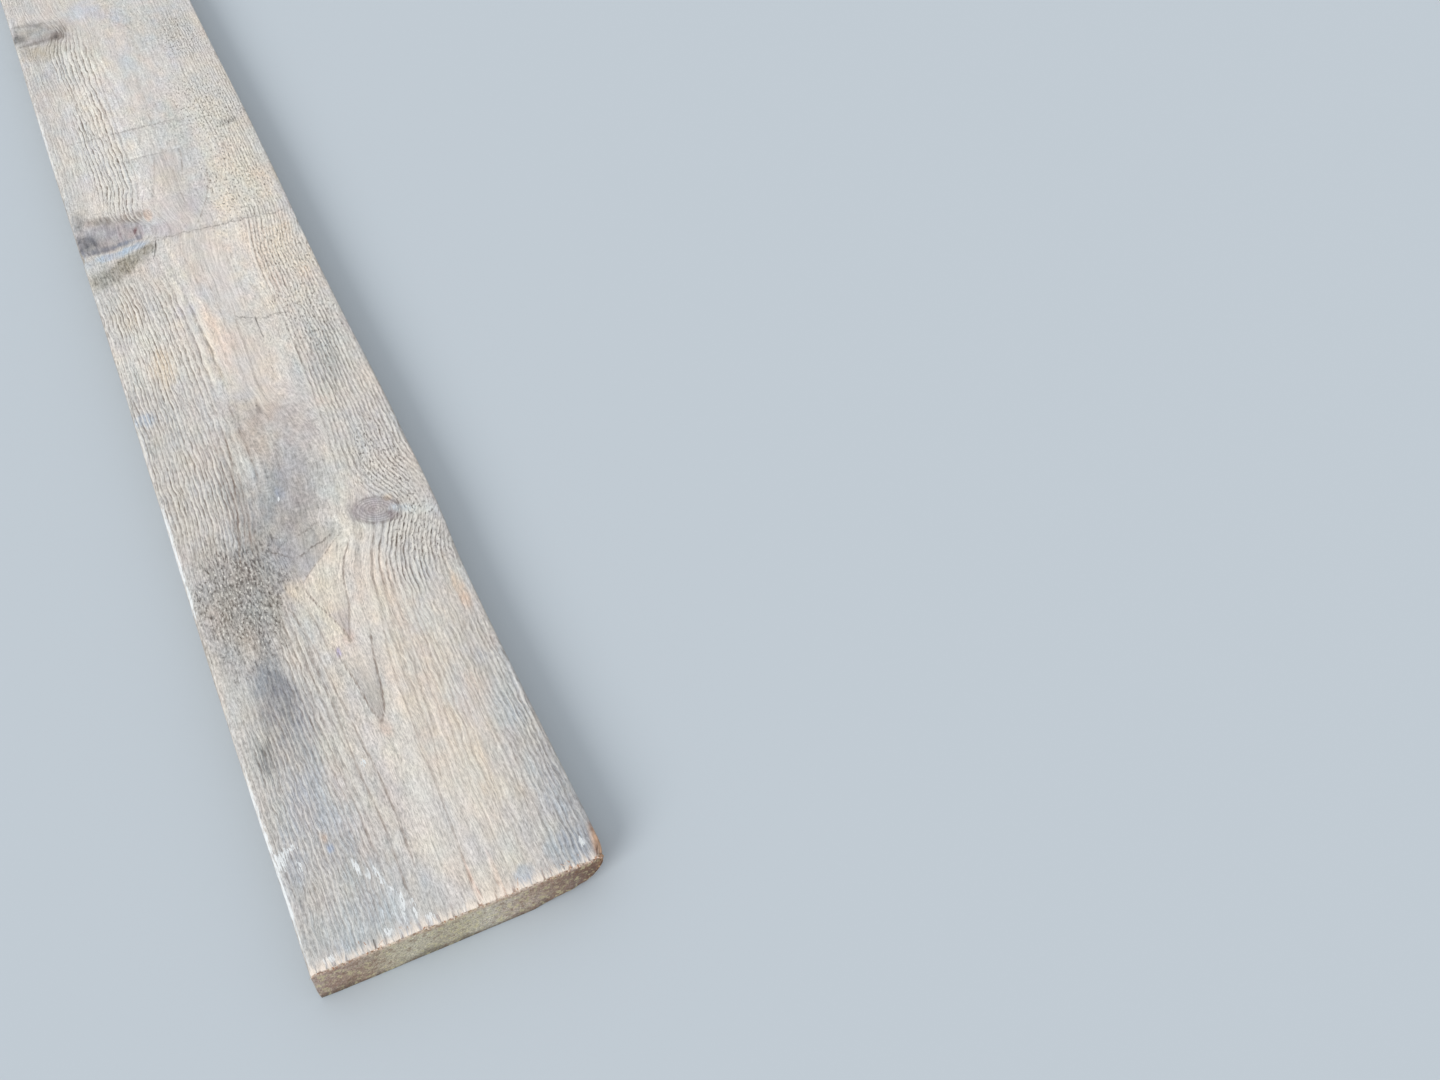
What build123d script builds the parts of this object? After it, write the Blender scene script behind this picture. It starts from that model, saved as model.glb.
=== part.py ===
from build123d import *
import math
import os

os.makedirs("parts", exist_ok=True)

# A reclaimed softwood floorboard: one length of sawn plank, worn along its edges
# and broken at one corner. Sizes are in millimetres. X runs along the board, with
# the near end at -X. The left edge is at +Y, and the underside lies on Z = 0.

# The stock: a sawn plank of 9 by 1 1/2 inches, 8 feet long
length = 2400
width = 225
thickness = 38

# The near end was sawn by eye: its left corner lies this much further in
near_end_lean = 2.8

# Edges of the two sawn ends
near_end_round = 1.0
far_end_round = 0.6

# Long corners: the upper ones are rounded by wear, the lower ones only eased.
# The rounding swells and shrinks along the board in long waves
left_round = 5.0
left_round_change = 1.2
left_round_wave = 640
right_round = 3.5
right_round_change = 0.7
right_round_wave = 430
under_round = 2.0

# Left edge: a long shallow wave, and wear that fades out from the near end
left_wave_depth = 1.1
left_wave_length = 830
left_wave_start = 244
left_wear_depth = 1.4
left_wear_length = 240

# Right edge: a shorter wave, and a worn stretch that stops at a hard knot
right_wave_depth = 1.8
right_wave_length = 545
right_wave_start = 504
right_wear_depth = 2.6
right_wear_length = 310
right_wear_fade = 80

# The board is lofted a shaving too thick and an overrun too long at each end,
# then planed to its thickness and sawn to its length
shaving = 0.15
overrun = 20
section_step = 60

# Scoop in the upper left corner beside the edge knot, where soft wood has gone
scoop_along = 881
scoop_reach = 66
scoop_width = 19
scoop_depth = 2.6
scoop_slant = 15

# Lower right corner of the near end, split away along the grain
split_width = 62
split_height = 22
split_bulge = 5.0
split_run = 75

# Upper right corner of the near end, chipped off in a short taper
chip_width = 7
chip_height = 9
chip_bulge = 0.9
chip_run = 40

# How a torn piece thins out: its size at each part of its run
torn_taper = [(0, 1), (0.4, 0.62), (1, 0.05)]

# Cutting shapes stand this far outside the wood
clear = 3


def ease(value):
    """Rise smoothly from 0 to 1 while the value goes from 0 to 1."""
    held = min(max(value, 0), 1)
    return held * held * (3 - 2 * held)


def wave(along, start, wave_length):
    """A wave between 0 and 1 that is 0 at its start."""
    return (1 - math.cos(2 * math.pi * (along - start) / wave_length)) / 2


def left_edge(along):
    """Y of the left edge at a distance from the near end."""
    wear = left_wear_depth * (1 - ease(along / left_wear_length))
    return width / 2 - wear - left_wave_depth * wave(along, left_wave_start, left_wave_length)


def right_edge(along):
    """Y of the right edge at a distance from the near end."""
    wear = right_wear_depth * (1 - ease((along - right_wear_length) / right_wear_fade))
    return -width / 2 + wear + right_wave_depth * wave(along, right_wave_start, right_wave_length)


def cross_plane(along, across=0):
    """A plane square to the board, whose own X points to the left and own Y up."""
    return Plane(origin=(along - length / 2, across, 0), x_dir=(0, 1, 0), z_dir=(1, 0, 0))


def worn_section(along):
    """The board's section at a distance from the near end, a shaving too thick each way."""
    left = left_edge(along)
    right = right_edge(along)
    left_corner = left_round + left_round_change * (wave(along, 0, left_round_wave) - 0.5)
    right_corner = right_round + right_round_change * (wave(along, 0, right_round_wave) - 0.5)
    left_shoulder = (left, thickness - left_corner)
    right_shoulder = (right, thickness - right_corner)
    top_left = (left - left_corner, thickness + shaving)
    top_right = (right + right_corner, thickness + shaving)
    left_foot = (left, under_round)
    right_foot = (right, under_round)
    under_left = (left - under_round, -shaving)
    under_right = (right + under_round, -shaving)
    outline = [
        Line(right_foot, right_shoulder),
        TangentArc(right_shoulder, top_right, tangent=(0, 1)),
        Line(top_right, top_left),
        TangentArc(left_shoulder, top_left, tangent=(0, 1)),
        Line(left_shoulder, left_foot),
        TangentArc(left_foot, under_left, tangent=(0, -1)),
        Line(under_left, under_right),
        TangentArc(right_foot, under_right, tangent=(0, -1)),
    ]
    return cross_plane(along) * make_face(outline)


def near_cut(across):
    """X of the saw cut at the near end, at a place across the board."""
    return -length / 2 + near_end_lean * (across + width / 2) / width


def sawn_plank():
    """The whole plank: worn sections lofted, planed on both faces and sawn to length."""
    reach = length + 2 * overrun
    count = round(reach / section_step)
    sections = [worn_section(-overrun + reach * i / count) for i in range(count + 1)]
    plan = Polyline(
        (near_cut(-width), -width),
        (length / 2, -width),
        (length / 2, width),
        (near_cut(width), width),
        close=True,
    )
    sawn = loft(sections) & extrude(make_face(plan), thickness)
    near_eased = fillet(sawn.faces().sort_by(Axis.X)[0].edges(), near_end_round)
    return fillet(near_eased.faces().sort_by(Axis.X)[-1].edges(), far_end_round)


def torn_piece(inwards, upwards, bulge, run):
    """The wood that a break takes from the lower right corner of the near end.

    The break starts inwards from the corner along the underside and upwards along the
    edge, and thins out along the grain. What it leaves bulges out towards the corner.
    """
    start = (inwards + clear, clear)
    finish = (clear, upwards + clear)
    outline = [
        SagittaArc(start, finish, bulge),
        Polyline(finish, (0, upwards + clear), (0, 0), (inwards + clear, 0), start),
    ]
    outside = cross_plane(0, right_edge(0)) * Pos(-clear, -clear, -clear)
    sections = []
    for part_of_run, size in torn_taper:
        place = outside * Pos(0, 0, part_of_run * (run + clear))
        sections.append(place * scale(make_face(outline), by=size))
    return loft(sections)


def scoop():
    """The rounded hollow beside the edge knot: a bar laid across the corner, sinking outwards."""
    radius = (scoop_width**2 / 4 + scoop_depth**2) / (2 * scoop_depth)
    slant = math.radians(scoop_slant)
    way_in = Vector(math.sin(slant), -math.cos(slant), scoop_depth / scoop_reach)
    mouth = (
        scoop_along - length / 2,
        left_edge(scoop_along),
        thickness + radius - scoop_depth,
    )
    return Plane(origin=mouth, z_dir=way_in) * Cylinder(radius, 2 * scoop_reach)


lower_split = torn_piece(split_width, split_height, split_bulge, split_run)
chip_below = torn_piece(chip_width, chip_height, chip_bulge, chip_run)
upper_chip = Pos(0, 0, thickness) * mirror(chip_below, about=Plane.XY)

floorboard = sawn_plank() - lower_split - upper_chip - scoop()
floorboard.label = "floorboard"

export_step(floorboard, "parts/floorboard.step")
print("floorboard", floorboard.bounding_box(), "volume", round(floorboard.volume))
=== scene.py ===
# %% [markdown]
# # A weathered floorboard
#
# This lesson dresses one old softwood plank: 2.4 m long, 225 mm wide and 38 mm thick.
# The plank's true shape is a solid that was made in a CAD program. Here it gets what
# years outdoors gave the real one: growth rings that stand up as ridges, knots that
# the grain flows round, grey and mouldy stains, specks of paint, and a torn end.
#
# The CAD solid is loaded first. It fixes the place and the size of everything.

# %% Load the frame
import math
import bpy
import numpy as np
from mathutils import Matrix, Vector
from mathutils.geometry import delaunay_2d_cdt


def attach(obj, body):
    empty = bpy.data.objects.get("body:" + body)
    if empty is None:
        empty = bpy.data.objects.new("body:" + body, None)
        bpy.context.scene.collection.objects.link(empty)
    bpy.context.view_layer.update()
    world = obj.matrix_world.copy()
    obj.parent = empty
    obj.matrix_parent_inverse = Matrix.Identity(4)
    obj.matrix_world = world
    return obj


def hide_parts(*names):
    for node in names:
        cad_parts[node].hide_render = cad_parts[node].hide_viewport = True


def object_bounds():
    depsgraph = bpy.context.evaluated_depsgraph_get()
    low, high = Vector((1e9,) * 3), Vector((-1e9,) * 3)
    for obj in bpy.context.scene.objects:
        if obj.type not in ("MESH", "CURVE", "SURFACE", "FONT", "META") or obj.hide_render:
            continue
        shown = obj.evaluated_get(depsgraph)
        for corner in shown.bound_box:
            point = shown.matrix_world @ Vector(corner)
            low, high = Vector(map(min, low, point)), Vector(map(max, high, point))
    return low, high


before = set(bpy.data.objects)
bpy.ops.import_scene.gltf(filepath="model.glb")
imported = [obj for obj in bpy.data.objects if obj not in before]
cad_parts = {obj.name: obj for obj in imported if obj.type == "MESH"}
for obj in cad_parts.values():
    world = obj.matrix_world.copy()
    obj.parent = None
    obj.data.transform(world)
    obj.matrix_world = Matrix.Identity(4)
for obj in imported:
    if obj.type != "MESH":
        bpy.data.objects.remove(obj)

cad_low, cad_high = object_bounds()
print("box of the solid, in metres:", [round(c, 4) for c in (*cad_low, *cad_high)])

# %% [markdown]
# ## The camera
#
# A render can only be compared with a photograph if both look from the same place.
# The long straight edges of a board tell where the camera stood: they meet in one
# vanishing point, and how fast they draw together gives the height. Here it stood
# half a metre behind the near end, a little under a metre up, and looked down.
#
# The camera is placed by its yaw, pitch and roll, because those three can be read
# and changed one at a time.

# %% Place the camera
PHOTO_WIDTH = 1440          # pixels
FOCAL_PIXELS = 1420
SENSOR = 36                 # millimetres
CAMERA_PLACE = Vector((-1.690, 0.0489, 0.964))
CAMERA_YAW = math.radians(-26.72)
CAMERA_PITCH = math.radians(48.68)
CAMERA_ROLL = math.radians(0.70)


def camera_axes(yaw, pitch, roll):
    """The camera's own right, up and forward directions."""
    forward = Vector((math.cos(pitch) * math.cos(yaw), math.cos(pitch) * math.sin(yaw), -math.sin(pitch)))
    level_right = forward.cross(Vector((0, 0, 1))).normalized()
    level_up = level_right.cross(forward)
    right = math.cos(roll) * level_right + math.sin(roll) * level_up
    up = math.cos(roll) * level_up - math.sin(roll) * level_right
    return right, up, forward


right, up, forward = camera_axes(CAMERA_YAW, CAMERA_PITCH, CAMERA_ROLL)
camera = bpy.data.objects.new("camera", bpy.data.cameras.new("camera"))
bpy.context.scene.collection.objects.link(camera)
turn = Matrix((right, up, -forward)).transposed()
camera.matrix_world = Matrix.Translation(CAMERA_PLACE) @ turn.to_4x4()
camera.data.sensor_width = SENSOR
camera.data.lens = FOCAL_PIXELS / PHOTO_WIDTH * SENSOR
camera.data.clip_start = 0.01
bpy.context.scene.camera = camera
print("lens, in millimetres:", round(camera.data.lens, 2))

# %% [markdown]
# ## Helpers for node trees
#
# Materials and Geometry Nodes are both trees of nodes. These helpers let a tree be
# written as a formula, so that what a line does can be read from left to right: a
# plus or a times sign between two values adds the node that reckons it.

# %% Node helpers
def feed(tree, socket, value):
    """Link a socket to a value of the tree, or set its own value."""
    if isinstance(value, Value):
        tree.links.new(value.socket, socket)
    else:
        socket.default_value = value


def node(tree, kind, inputs=None, **settings):
    """Add a node, change its settings and feed its inputs."""
    made = tree.nodes.new(kind)
    for name, value in settings.items():
        setattr(made, name, value)
    for key, value in (inputs or {}).items():
        feed(tree, made.inputs[key], value)
    return made


class Value:
    """What an output socket of a node gives, with the signs of arithmetic."""

    def __init__(self, made, output=0):
        self.socket = made.outputs[output]
        self.tree = made.id_data

    def step(self, operation, *values):
        """One step of arithmetic, as a node."""
        return Value(node(self.tree, "ShaderNodeMath", dict(enumerate(values)), operation=operation))

    def __add__(self, other):
        return self.step("ADD", self, other)

    def __sub__(self, other):
        return self.step("SUBTRACT", self, other)

    def __rsub__(self, other):
        return self.step("SUBTRACT", other, self)

    def __mul__(self, other):
        return self.step("MULTIPLY", self, other)

    def __truediv__(self, other):
        return self.step("DIVIDE", self, other)

    def __pow__(self, other):
        return self.step("POWER", self, other)

    def __abs__(self):
        return self.step("ABSOLUTE", self)

    __radd__, __rmul__ = __add__, __mul__


def larger(first, second):
    """The larger of two, of which the second is a value of the tree."""
    return second.step("MAXIMUM", first, second)


def fraction(value):
    """What stands behind the point of a number."""
    return value.step("FRACT", value)


def whole(value):
    """A number without its fraction."""
    return value.step("FLOOR", value)


def rise(value, start, end, low=0.0, high=1.0):
    """Go smoothly from low to high while the value goes from start to end."""
    made = node(value.tree, "ShaderNodeMapRange", interpolation_type="SMOOTHSTEP")
    for socket, number in zip(made.inputs, (value, start, end, low, high)):
        feed(value.tree, socket, number)
    return Value(made)


def speckle(place, stretch, detail=2.0, roughness=0.5):
    """Noise of about 0.5, with its grains shorter where stretch is larger."""
    scaled = node(place.tree, "ShaderNodeVectorMath", {0: place, 1: stretch}, operation="MULTIPLY")
    return Value(node(
        place.tree,
        "ShaderNodeTexNoise",
        {"Vector": Value(scaled), "Scale": 1.0, "Detail": detail, "Roughness": roughness},
    ))


# %% [markdown]
# ## Floor and light
#
# The plank lies on a plain pale floor under an even sky. A world colour of strength
# near 1 lights every colour about as it is written. A part of that light comes from a
# wide low sun instead, which gives the ridges a lit flank and a dark one.

# %% Floor and light
FLOOR_SIZE = 30.0
FLOOR_DROP = 0.0003         # keeps the floor from flickering through the underside
FLOOR_COLOUR = (0.545, 0.60, 0.65, 1)
SKY_COLOUR = (0.95, 0.975, 1.0, 1)
SKY_STRENGTH = 0.72
SUN_WAY = (-0.45, 0.70, 0.55)     # from the plank towards the sun
SUN_STRENGTH = 1.7
SUN_ANGLE = math.radians(32)      # a wide sun makes soft shadows
SUN_COLOUR = (1.0, 0.985, 0.96)


def plain_floor():
    """A large pale square that the plank lies on."""
    half = FLOOR_SIZE / 2
    corners = [(-half, -half), (half, -half), (half, half), (-half, half)]
    mesh = bpy.data.meshes.new("floor")
    mesh.from_pydata([(x, y, -FLOOR_DROP) for x, y in corners], [], [(0, 1, 2, 3)])
    material = bpy.data.materials.new("plain_floor")
    material.use_nodes = True
    shader = material.node_tree.nodes["Principled BSDF"]
    shader.inputs["Base Color"].default_value = FLOOR_COLOUR
    shader.inputs["Roughness"].default_value = 0.95
    shader.inputs["Specular IOR Level"].default_value = 0.1
    mesh.materials.append(material)
    floor = bpy.data.objects.new("floor", mesh)
    bpy.context.scene.collection.objects.link(floor)
    return floor


def even_sky():
    """A pale sky that lights from all sides, and looks like the floor's far edge."""
    world = bpy.data.worlds.new("even_sky")
    bpy.context.scene.world = world
    world.use_nodes = True
    tree = world.node_tree
    tree.nodes.clear()
    lit = node(tree, "ShaderNodeBackground", {"Color": SKY_COLOUR, "Strength": SKY_STRENGTH})
    seen = node(tree, "ShaderNodeBackground", {"Color": FLOOR_COLOUR, "Strength": 1.0})
    path = node(tree, "ShaderNodeLightPath")
    direct = larger(Value(path, "Is Camera Ray"), Value(path, "Is Glossy Ray"))
    direct = larger(direct, Value(path, "Is Transmission Ray"))
    both = node(tree, "ShaderNodeMixShader", {0: direct, 1: Value(lit), 2: Value(seen)})
    node(tree, "ShaderNodeOutputWorld", {"Surface": Value(both)})


def low_sun():
    """A wide, low sun. Its light is as strong on the far half of the plank as on the near one."""
    data = bpy.data.lights.new("low_sun", "SUN")
    data.energy, data.angle, data.color = SUN_STRENGTH, SUN_ANGLE, SUN_COLOUR
    lamp = bpy.data.objects.new("low_sun", data)
    lamp.rotation_euler = Vector(SUN_WAY).to_track_quat("Z", "Y").to_euler()
    bpy.context.scene.collection.objects.link(lamp)


floor = plain_floor()
even_sky()
low_sun()
bpy.context.scene.view_settings.view_transform = "Standard"

# %% [markdown]
# ## The plank's measures
#
# Everything on the plank is placed by three distances in millimetres: `along` from
# the near end, `across` from the left edge, and `deep` below the worn face. The
# frame is in metres with its origin under the middle of the plank, so one function
# changes the one into the other.

# %% Measures
MM = 0.001
LENGTH = round((cad_high.x - cad_low.x) / MM)
WIDTH = round((cad_high.y - cad_low.y) / MM)
THICKNESS = round((cad_high.z - cad_low.z) / MM)
LATTICE = 64                # hills of soft noise before it repeats
print("length, width and thickness:", LENGTH, WIDTH, THICKNESS)


def to_frame(along, across, deep):
    """Points in the frame, in metres, from distances on the plank in millimetres."""
    return np.stack([along - LENGTH / 2, WIDTH / 2 - across, THICKNESS - deep], axis=-1) * MM


def ease(value):
    """Rise smoothly from 0 to 1 while the value goes from 0 to 1."""
    held = np.clip(value, 0, 1)
    return held * held * (3 - 2 * held)


def hill(first, second=0.0):
    """1 where both distances are 0, and dying away round it."""
    return np.exp(-(first**2) - second**2)


def wave(along, start, wave_length):
    """A wave between 0 and 1 that is 0 at its start."""
    return (1 - np.cos(2 * np.pi * (along - start) / wave_length)) / 2


def soft_noise(x, y, seed):
    """Smooth noise from -1 to 1, with one hill or hollow to a unit."""
    lattice = np.random.default_rng(seed).uniform(-1, 1, (LATTICE, LATTICE))
    column, row = np.floor(x).astype(int), np.floor(y).astype(int)
    right_share, upper_share = ease(x - column), ease(y - row)

    def at(step_x, step_y):
        return lattice[(column + step_x) % LATTICE, (row + step_y) % LATTICE]

    lower = at(0, 0) * (1 - right_share) + at(1, 0) * right_share
    upper = at(0, 1) * (1 - right_share) + at(1, 1) * right_share
    return lower * (1 - upper_share) + upper * upper_share


def line_noise(places, seed):
    """Soft noise along one line."""
    return soft_noise(places, 0 * places, seed)


# %% [markdown]
# ## The plank's outline
#
# A sawn plank is almost a box, but its edges wander, its upper corners are worn
# round, and one corner of the near end is split away. These few formulas describe
# its cross section anywhere along it. They are the ones that the solid was drawn
# with, so the skin made here lies on that solid.
#
# Each corner of a section is a stretch of points that runs from one side to the
# next. With `fullness` 1 it is round, and with 0 it is cut straight.

# %% Outline of a section
LEFT_ROUND, LEFT_ROUND_CHANGE, LEFT_ROUND_WAVE = 5.0, 1.2, 640
RIGHT_ROUND, RIGHT_ROUND_CHANGE, RIGHT_ROUND_WAVE = 3.5, 0.7, 430
UNDER_ROUND = 2.0
NEAR_END_LEAN = 2.8
LEAN_FADE = 300
SPLIT_ACROSS, SPLIT_UP, SPLIT_RUN, SPLIT_FULLNESS = 62, 22, 75, 0.58
CHIP_ACROSS, CHIP_UP, CHIP_RUN, CHIP_FULLNESS = 7, 9, 40, 0.40
TEAR_CLEAR, TEAR_TAPER, TEAR_REACH = 3, 0.95, 1.1
BREAK_SHOWS, CHIP_SHARPENS, SPLIT_SHARPENS = 2, 3, 12     # sizes at which a break gets its own fullness
LEFT_START_WEAR, LEFT_START_RUN = 1.4, 240
LEFT_WAVE, LEFT_WAVE_START, LEFT_WAVE_LENGTH = 1.1, 244, 830
RIGHT_STEP, RIGHT_STEP_START, RIGHT_STEP_RUN = 2.6, 310, 80
RIGHT_WAVE, RIGHT_WAVE_START, RIGHT_WAVE_LENGTH = 1.8, 504, 545


def left_edge(along):
    """How far the left edge lies from the plank's nominal left side."""
    start_wear = LEFT_START_WEAR * (1 - ease(along / LEFT_START_RUN))
    return start_wear + LEFT_WAVE * wave(along, LEFT_WAVE_START, LEFT_WAVE_LENGTH)


def right_edge(along):
    """The same for the right edge, measured from the left."""
    start_wear = RIGHT_STEP * (1 - ease((along - RIGHT_STEP_START) / RIGHT_STEP_RUN))
    return WIDTH - start_wear - RIGHT_WAVE * wave(along, RIGHT_WAVE_START, RIGHT_WAVE_LENGTH)


def tear(along, size, run):
    """What is left of a torn piece's size at a distance from the near end."""
    part = np.clip((along + TEAR_CLEAR) / (run + TEAR_CLEAR), 0, TEAR_REACH)
    share = 1 - TEAR_TAPER * part
    return np.maximum((size + TEAR_CLEAR) * share - TEAR_CLEAR, 0)


def corner(start, end, middle, fullness, steps):
    """Points from one side of a corner to the other, the last one left out."""
    turn = np.arange(steps) / steps * np.pi / 2
    round_way = middle + (start - middle) * np.cos(turn)[:, None] + (end - middle) * np.sin(turn)[:, None]
    share = turn[:, None] / (np.pi / 2)
    straight = start + (end - start) * share
    return straight + (round_way - straight) * fullness


def stretch(start, end, shares):
    """Points along a straight stretch."""
    return start + (end - start) * shares[:, None]


# %% [markdown]
# The columns of the skin run along the plank. The ridges of the rings are only
# three to five millimetres apart, so the worn face gets a column every 1.3 mm or
# so. The underside, which has no ridges, gets a dozen.

# %% Columns round a section
TOP_SPACING = [(0, 1.25), (90, 1.3), (225, 1.4)]
SIDE_STEPS, UNDER_STEPS = 6, 12
LEFT_CORNER_STEPS, RIGHT_CORNER_STEPS = 6, 6
LEFT_FOOT_STEPS, RIGHT_FOOT_STEPS = 3, 24


def even_steps(spacing, start, end):
    """Places from start to end whose spacing follows a list of (place, spacing)."""
    fine = np.linspace(start, end, 8000)
    wanted = np.interp(fine, *zip(*spacing))
    count = np.cumsum(1 / wanted) * (fine[1] - fine[0])
    return np.interp(np.linspace(count[0], count[-1], int(count[-1]) + 1), count, fine)


top_columns = even_steps(TOP_SPACING, LEFT_ROUND, WIDTH - RIGHT_ROUND)
top_shares = (top_columns - top_columns[0]) / (top_columns[-1] - top_columns[0])


def section(along):
    """The loop of (across, deep) points round the plank."""
    left, right = left_edge(along), right_edge(along)
    left_round = LEFT_ROUND + LEFT_ROUND_CHANGE * (wave(along, 0, LEFT_ROUND_WAVE) - 0.5)
    right_round = RIGHT_ROUND + RIGHT_ROUND_CHANGE * (wave(along, 0, RIGHT_ROUND_WAVE) - 0.5)
    chip = np.array([tear(along, CHIP_ACROSS, CHIP_RUN), tear(along, CHIP_UP, CHIP_RUN)])
    split = np.array([tear(along, SPLIT_ACROSS, SPLIT_RUN), tear(along, SPLIT_UP, SPLIT_RUN)])
    upper = np.maximum(chip, right_round)
    lower = np.maximum(split, UNDER_ROUND)
    chipped = ease((chip[0] - BREAK_SHOWS) / CHIP_SHARPENS)
    torn = ease((split[0] - BREAK_SHOWS) / SPLIT_SHARPENS)
    top_right, top_left = right - upper[0], left + left_round
    foot_right, foot_left = right - lower[0], left + UNDER_ROUND
    side_top, side_foot, left_foot = upper[1], THICKNESS - lower[1], THICKNESS - UNDER_ROUND
    side_shares, under_shares = np.arange(SIDE_STEPS) / SIDE_STEPS, np.arange(UNDER_STEPS) / UNDER_STEPS
    chip_fullness = 1 + (CHIP_FULLNESS - 1) * chipped
    split_fullness = 1 + (SPLIT_FULLNESS - 1) * torn

    def spot(across, deep):
        return np.array([across, deep], float)

    return np.concatenate([
        stretch(spot(top_left, 0), spot(top_right, 0), top_shares[:-1]),
        corner(
            spot(top_right, 0), spot(right, side_top), spot(top_right, side_top),
            chip_fullness, RIGHT_CORNER_STEPS,
        ),
        stretch(spot(right, side_top), spot(right, side_foot), side_shares),
        corner(
            spot(right, side_foot), spot(foot_right, THICKNESS), spot(foot_right, side_foot),
            split_fullness, RIGHT_FOOT_STEPS,
        ),
        stretch(spot(foot_right, THICKNESS), spot(foot_left, THICKNESS), under_shares),
        corner(
            spot(foot_left, THICKNESS), spot(left, left_foot), spot(foot_left, left_foot),
            1, LEFT_FOOT_STEPS,
        ),
        stretch(spot(left, left_foot), spot(left, left_round), side_shares),
        corner(
            spot(left, left_round), spot(top_left, 0), spot(top_left, left_round),
            1, LEFT_CORNER_STEPS,
        ),
    ])


print("columns round a section:", len(section(0.0)))

# %% [markdown]
# Sections stand close together where there is something to show: at the torn end,
# round the knots, and where the camera is near. The last metre is plainer.
#
# At both ends the loop draws in a little over the last millimetre, which rounds
# the sawn edge. `draw_in` is how far its points move inwards, square to the loop.

# %% Stations along the plank
STATION_SPACING = [
    (0, 2.2), (90, 3.0), (120, 4.4), (330, 4.2), (345, 2.4), (455, 2.6), (475, 5.0), (850, 5.2),
    (860, 4.0), (950, 4.0), (970, 6.2), (1335, 6.6), (1345, 4.4), (1395, 4.4), (1420, 9), (1500, 15),
    (2400, 16),
]
NEAR_ROUND, FAR_ROUND, ROUND_STEPS = 1.2, 0.6, 3

middle_stations = even_steps(STATION_SPACING, NEAR_ROUND, LENGTH - FAR_ROUND)
bend = np.arange(ROUND_STEPS) / ROUND_STEPS * np.pi / 2
near_stations = NEAR_ROUND * (1 - np.cos(bend))
far_stations = LENGTH - FAR_ROUND * (1 - np.cos(bend[::-1]))
stations = np.concatenate([near_stations, middle_stations, far_stations])
draw_in = np.zeros(len(stations))
draw_in[:ROUND_STEPS] = NEAR_ROUND * (1 - np.sin(bend))
draw_in[-ROUND_STEPS:] = FAR_ROUND * (1 - np.sin(bend[::-1]))


def outward(loop):
    """The direction out of the plank at each point of a loop."""
    tangent = np.roll(loop, -1, axis=0) - np.roll(loop, 1, axis=0)
    normal = np.stack([tangent[:, 1], -tangent[:, 0]], axis=1)
    return normal / np.linalg.norm(normal, axis=1)[:, None]


loops = np.stack([section(float(along)) for along in stations])
facing = np.stack([outward(loop) for loop in loops])
loops = loops - facing * draw_in[:, None, None]
print("stations:", len(stations), "quads in the skin:", loops.shape[0] * loops.shape[1])

# %% [markdown]
# Each sawn end is closed by a flat fan of small triangles. A Delaunay
# triangulation joins the points of the last loop to a loose grid inside it, and
# needs no rows or columns that match.

# %% Close the ends
CAP_SPACING = {"near": 1.7, "far": 4.0}
CAP_LOOSENESS, CAP_CLEAR = 0.25, 0.7      # in spacings: how far points stray, and keep from the loop
TRIANGLES_INSIDE = 1                      # the triangulation's mode
CAP_MERGE = 1e-5


def end_cap(loop, spacing, seed):
    """New points inside a loop, and triangles over them and the loop's own points."""
    low, high = loop.min(axis=0), loop.max(axis=0)
    columns, rows = np.arange(low[0], high[0], spacing), np.arange(low[1], high[1], spacing)
    grid = np.stack(np.meshgrid(columns, rows), -1).reshape(-1, 2)
    grid = grid + np.random.default_rng(seed).uniform(-CAP_LOOSENESS, CAP_LOOSENESS, grid.shape) * spacing
    gap = np.linalg.norm(grid[:, None] - loop[None], axis=2).min(axis=1)
    grid = grid[gap > CAP_CLEAR * spacing]
    flat = np.concatenate([loop, grid])
    count = len(loop)
    sides = [(i, (i + 1) % count) for i in range(count)]
    spots = [Vector(point) for point in flat]
    _, _, faces, origin, _, _ = delaunay_2d_cdt(spots, sides, [], TRIANGLES_INSIDE, CAP_MERGE)
    came_from = [old[0] for old in origin]
    faces = [[came_from[i] for i in face] for face in faces]
    inside = sorted({i for face in faces for i in face if i >= count})
    number = {i: i for i in range(count)} | {old: count + i for i, old in enumerate(inside)}
    return flat[inside], [[number[i] for i in face] for face in faces]


near_inside, near_faces = end_cap(loops[0], CAP_SPACING["near"], seed=3)
far_inside, far_faces = end_cap(loops[-1], CAP_SPACING["far"], seed=4)
print("triangles in the near and far ends:", len(near_faces), len(far_faces))

# %% [markdown]
# The skin and the two ends are joined into lists of points and faces. Faces are
# wound so that they look out of the plank.

# %% Join the skin and the ends
station_count, column_count = loops.shape[:2]
skin_along = np.repeat(stations, column_count)
skin_across, skin_deep = loops[..., 0].ravel(), loops[..., 1].ravel()
along = np.concatenate([skin_along, np.zeros(len(near_inside)), np.full(len(far_inside), float(LENGTH))])
across = np.concatenate([skin_across, near_inside[:, 0], far_inside[:, 0]])
deep = np.concatenate([skin_deep, near_inside[:, 1], far_inside[:, 1]])
skin_count = station_count * column_count

quads = []
for station in range(station_count - 1):
    here, there = station * column_count, (station + 1) * column_count
    for column in range(column_count):
        after = (column + 1) % column_count
        quads.append((here + column, here + after, there + after, there + column))


def renumber(face, loop_start, inside_start):
    """A cap's face with the numbers of the whole mesh."""
    return [loop_start + i if i < column_count else inside_start + i - column_count for i in face]


last_loop = skin_count - column_count
far_start = skin_count + len(near_inside)
near_caps = [renumber(face, 0, skin_count) for face in near_faces]
far_caps = [renumber(face, last_loop, far_start) for face in far_faces]


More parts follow.
